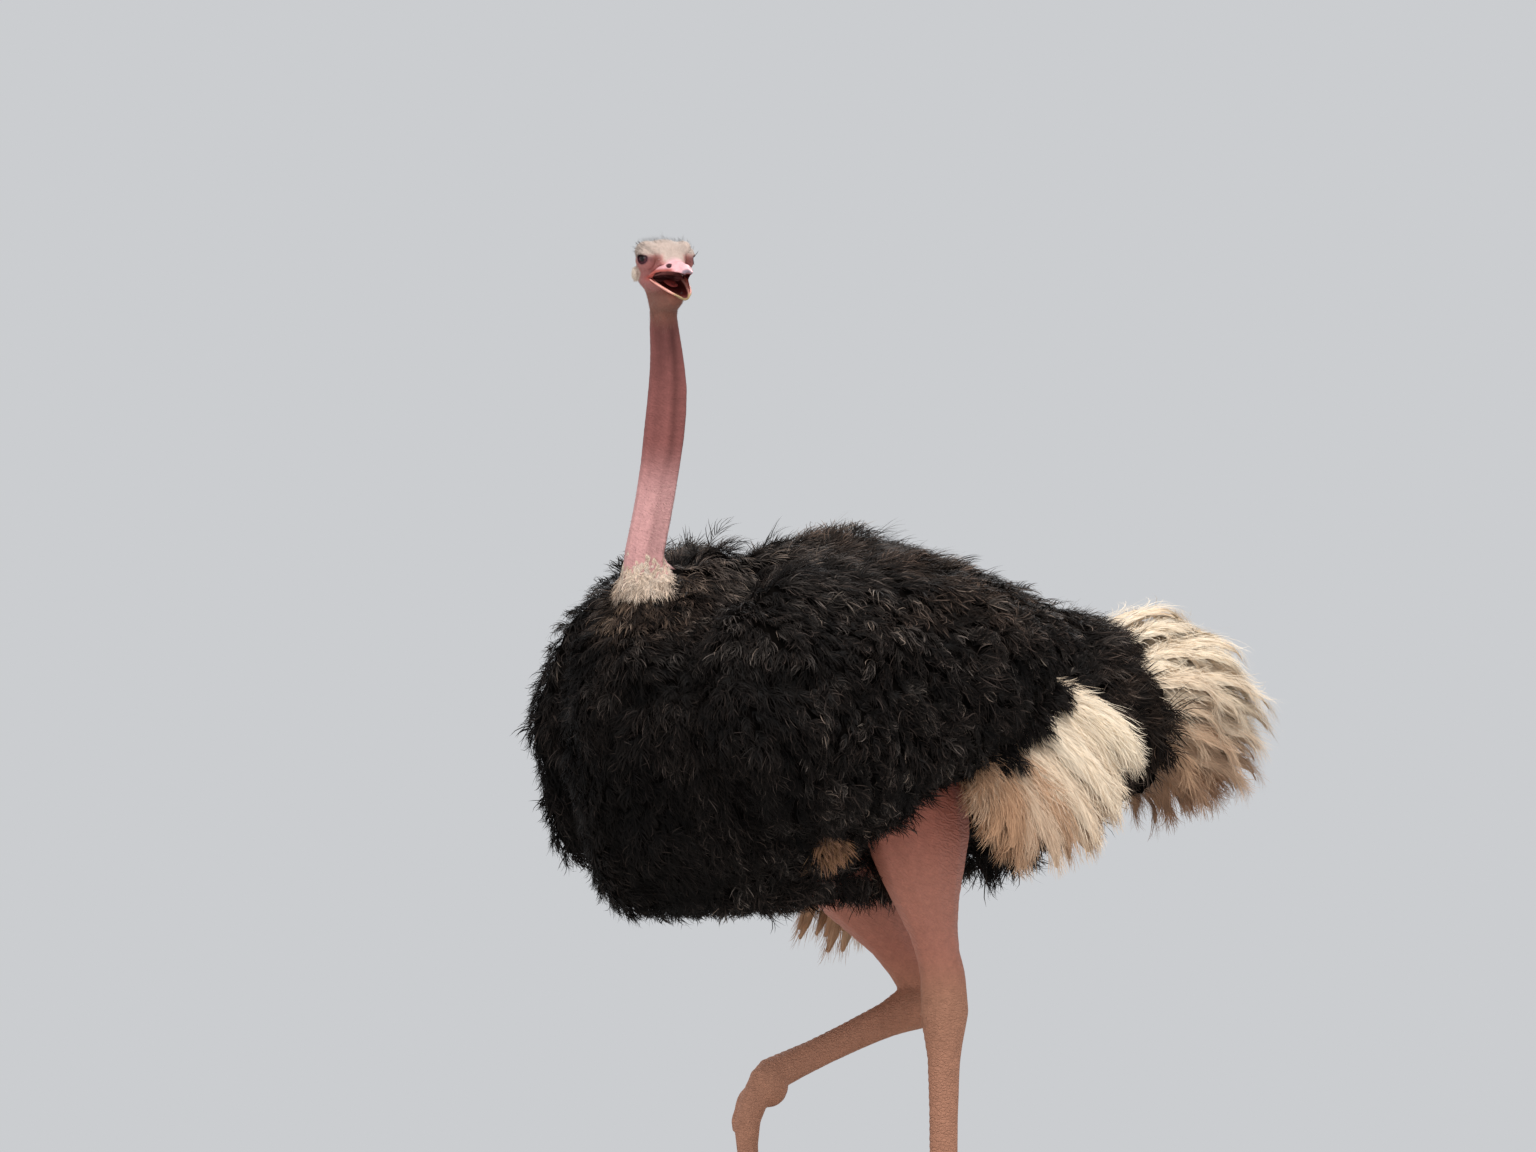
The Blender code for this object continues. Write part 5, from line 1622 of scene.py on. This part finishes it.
def makeCollar(ground, tree, material):
    roots = ground.scatter(collarLook["spacing"], 31)
    height = roots["at"][:, 2]
    inBand = (height > markingsLook["collarFoot"] - 0.012) & (height < markingsLook["collarTop"] + 0.04)
    roots = onSkin(tree, only(roots, inBand & (fromNeck(roots["at"])[0] < 0.09)), 0.03)
    height, count = roots["at"][:, 2], len(roots["at"])
    shuffle = rng.random(count)
    ragged = height + 0.018 * waves(roots["at"], 40, 3.0)
    kept = shuffle < ramp(ragged, markingsLook["collarTop"] + 0.026, markingsLook["collarTop"] - 0.03)
    roots = only(roots, kept)
    height, shuffle, count = roots["at"][:, 2], shuffle[kept], int(kept.sum())
    flat = onSurface(np.tile(-upward, (count, 1)), roots["normal"])
    roots["way"] = turnAbout(flat, roots["normal"], rng.normal(size=count) * 0.45)
    low = ramp(height, markingsLook["collarTop"] - 0.005, markingsLook["collarFoot"])
    length = collarLook["short"] + (collarLook["long"] - collarLook["short"]) * low
    roots["size"] = length * (0.6 + 0.7 * rng.random(count))
    roots["rise"] = 0.15 + 0.70 * low * (0.6 + 0.6 * rng.random(count))
    tint = np.tile(plumageColours["down"], (count, 1))
    tint = blended(tint, plumageColours["buff"], 0.45 * rng.random(count))
    roots["tint"] = blended(tint, plumageColours["straw"], low * ramp(rng.random(count), 0.6, 1.0))
    piece = stripMesh("collarDown", tuftStrips(roots, collarLook), collarLook["steps"])
    finishPiece(piece, material, "pale_plumage")


downLook = {
    "spacing": 0.0026,
    "length": 0.0050,
    "reach": 0.010,
    "barbs": 3,
    "spread": 0.35,
    "width": 0.00034,
    "rise": 0.35,
    "steps": 3,
    "curl": 0.8,
    "sag": 0.1,
    # painted shade at each barb's root, painted light at its tip
    "paintedRootShade": 0.85,
    "paintedTipLight": 1.05,
}


def makeHeadDown(ground, tree, material):
    roots = ground.scatter(downLook["spacing"], 41)
    roots = onSkin(tree, only(roots, roots["at"][:, 2] > 1.90), 0.006)
    points, count = roots["at"], len(roots["at"])
    local = localTo(headMatrix(), points)
    x, z = local[:, 0], local[:, 2]
    crown = ramp(z, -0.004, 0.016) * ramp(x, 0.050, 0.034)
    behind = ramp(x, -0.018, -0.040) * ramp(z, -0.07, -0.02)
    throat = ramp(z, -0.056, -0.070) * ramp(z, -0.135, -0.110) * 0.45
    ears = onFace(local, "ear")
    nape = ramp(z, -0.05, -0.08) * ramp(z, -0.16, -0.10) * 0.35
    density = np.maximum.reduce([crown, behind, throat, ramp(ears, 0.05, 0.4), nape, np.full(count, 0.06)])
    gape = (z < -0.033) & (x > -0.016) & (localTo(jawMatrix(), points)[:, 2] > -0.045)
    kept = (rng.random(count) < density) & ~gape & (x < 0.050)
    for side in sides:
        reach, _, edge = eyeAngles(points, side)
        kept &= ~((edge < 14) & (reach < 0.031))
    roots, local, ears = only(roots, kept), local[kept], ears[kept]
    x, z, count = local[:, 0], local[:, 2], len(local)
    turned = np.array(headMatrix())[:3, :3]
    way = np.tile(turned @ np.array([-1.0, 0.0, -0.25]), (count, 1))
    way = blended(way, turned @ np.array([-0.3, 0, -1.0]), ramp(z, -0.02, -0.05))
    flat = onSurface(way, roots["normal"])
    roots["way"] = turnAbout(flat, roots["normal"], rng.normal(size=count) * 0.35)
    longer = (1 + 0.2 * ramp(ears, 0.1, 0.5)) * (1 - 0.30 * ramp(x, 0.0, 0.03))
    longer *= 1 + 0.5 * ramp(z, -0.055, -0.075)
    longer *= 1 + 0.9 * nearness(local, (-0.005, 0, 0.036), (0.035, 0.022, 0.02))
    roots["size"] = downLook["length"] * (0.7 + 0.6 * rng.random(count)) * longer
    tint = np.tile(plumageColours["crownDown"], (count, 1))
    tint = blended(tint, plumageColours["down"], ramp(ears, 0.02, 0.3))
    roots["tint"] = blended(tint, skinColours["throat"] * 1.15, 0.85 * ramp(z, -0.055, -0.070))
    piece = stripMesh("headDown", tuftStrips(roots, downLook), downLook["steps"])
    finishPiece(piece, material, "pale_plumage")


stubbleLook = {
    "spacing": 0.0056,
    "length": 0.0056,
    "reach": 0.010,
    "barbs": 1,
    "width": 0.00042,
    "rise": 0.8,
    "steps": 2,
    "curl": 0.5,
    "sag": 0.2,
    "paintedRootShade": 1.0,
    "paintedTipLight": 1.0,
    "hair": paint(48, 36, 32),
    "pale": paint(206, 166, 156),
    "dark": paint(84, 54, 50),
}


def makeBristles(ground, tree, material):
    # sparse dark hairs over the crown, longest at its middle, and stubble down the neck
    roots = onSkin(tree, ground.scatter(stubbleLook["spacing"], 51), 0.010)
    local = localTo(headMatrix(), roots["at"])
    onCrown = (local[:, 2] > 0.008) & (local[:, 0] < 0.016)
    kept = onCrown | ((roots["at"][:, 2] > 1.43) & (roots["at"][:, 2] < 1.60))
    roots, local, onCrown = only(roots, kept), local[kept], onCrown[kept]
    count = len(local)
    turned = np.array(headMatrix())[:3, :3]
    way = np.where(onCrown[:, None], turned[:, 2] * 1.4 - turned[:, 0] * 0.5, -upward)
    flat = onSurface(way, roots["normal"])
    roots["way"] = np.where(onCrown[:, None], unit(way), flat)
    peak = nearness(local, (0.0, 0.0, 0.036), (0.020, 0.012, 0.02))
    longer = 1 + onCrown * (1.7 + 2.8 * peak)
    roots["size"] = stubbleLook["length"] * (0.7 + 0.6 * rng.random(count)) * longer
    pale = np.tile(stubbleLook["pale"], (count, 1))
    dark = blended(pale, stubbleLook["dark"], rng.random(count) < 0.35)
    roots["tint"] = np.where(onCrown[:, None], stubbleLook["hair"], dark)
    piece = stripMesh("bristles", tuftStrips(roots, stubbleLook), stubbleLook["steps"])
    finishPiece(piece, material, "pale_plumage")


baseLook = {"dark": paint(138, 132, 125), "light": paint(152, 146, 139)}
clawLook = {"dark": paint(58, 46, 40), "light": paint(116, 98, 86)}


def finishNodes():
    claw = grainedMaterial("clawHorn", 0.45, 60.0, (1, 1, 4), clawLook["dark"], clawLook["light"], 0.0015)
    base = grainedMaterial("basePaint", 0.55, 140.0, (1, 1, 1), baseLook["dark"], baseLook["light"], 0.0008)
    for name, node in nodes.items():
        if name.startswith("claw") or name == "stand_base":
            node.data.materials.clear()
            node.data.materials.append(claw if name.startswith("claw") else base)


makeStudio()
body = makeBodySkin()
print("body skin:", len(body.data.polygons), "faces")
ground = Ground(body)
skin = makeSkin(body)
bpy.data.objects.remove(body)
skinTree = treeOf(skin.data)
fine = fineGround()
blackFeather = featherMaterial("blackFeather", 0.60, 0.09, 0.0)
paleFeather = featherMaterial("paleFeather", 0.66, 0.25, 0.15)
silkyVane = vaneMaterial()
billHorn = hornMaterial("billHorn", 0.48, 70)
eyeGloss = eyeMaterial()
for side in sides:
    makeEye(side, eyeGloss)
    makeLashes(side, blackFeather)
makeUpperBill(billHorn)
makeLowerBill(billHorn)
makeTongue()
print("eyes and bill made")
makeCoat(ground, blackFeather)
for side in sides:
    makeWingPlumes(side, ground, silkyVane, paleFeather)
    makeCoverts(side, ground, blackFeather)
makeTail(ground, silkyVane, paleFeather)
makeCollar(fine, skinTree, paleFeather)
makeHeadDown(fine, skinTree, paleFeather)
makeBristles(fine, skinTree, paleFeather)
finishNodes()
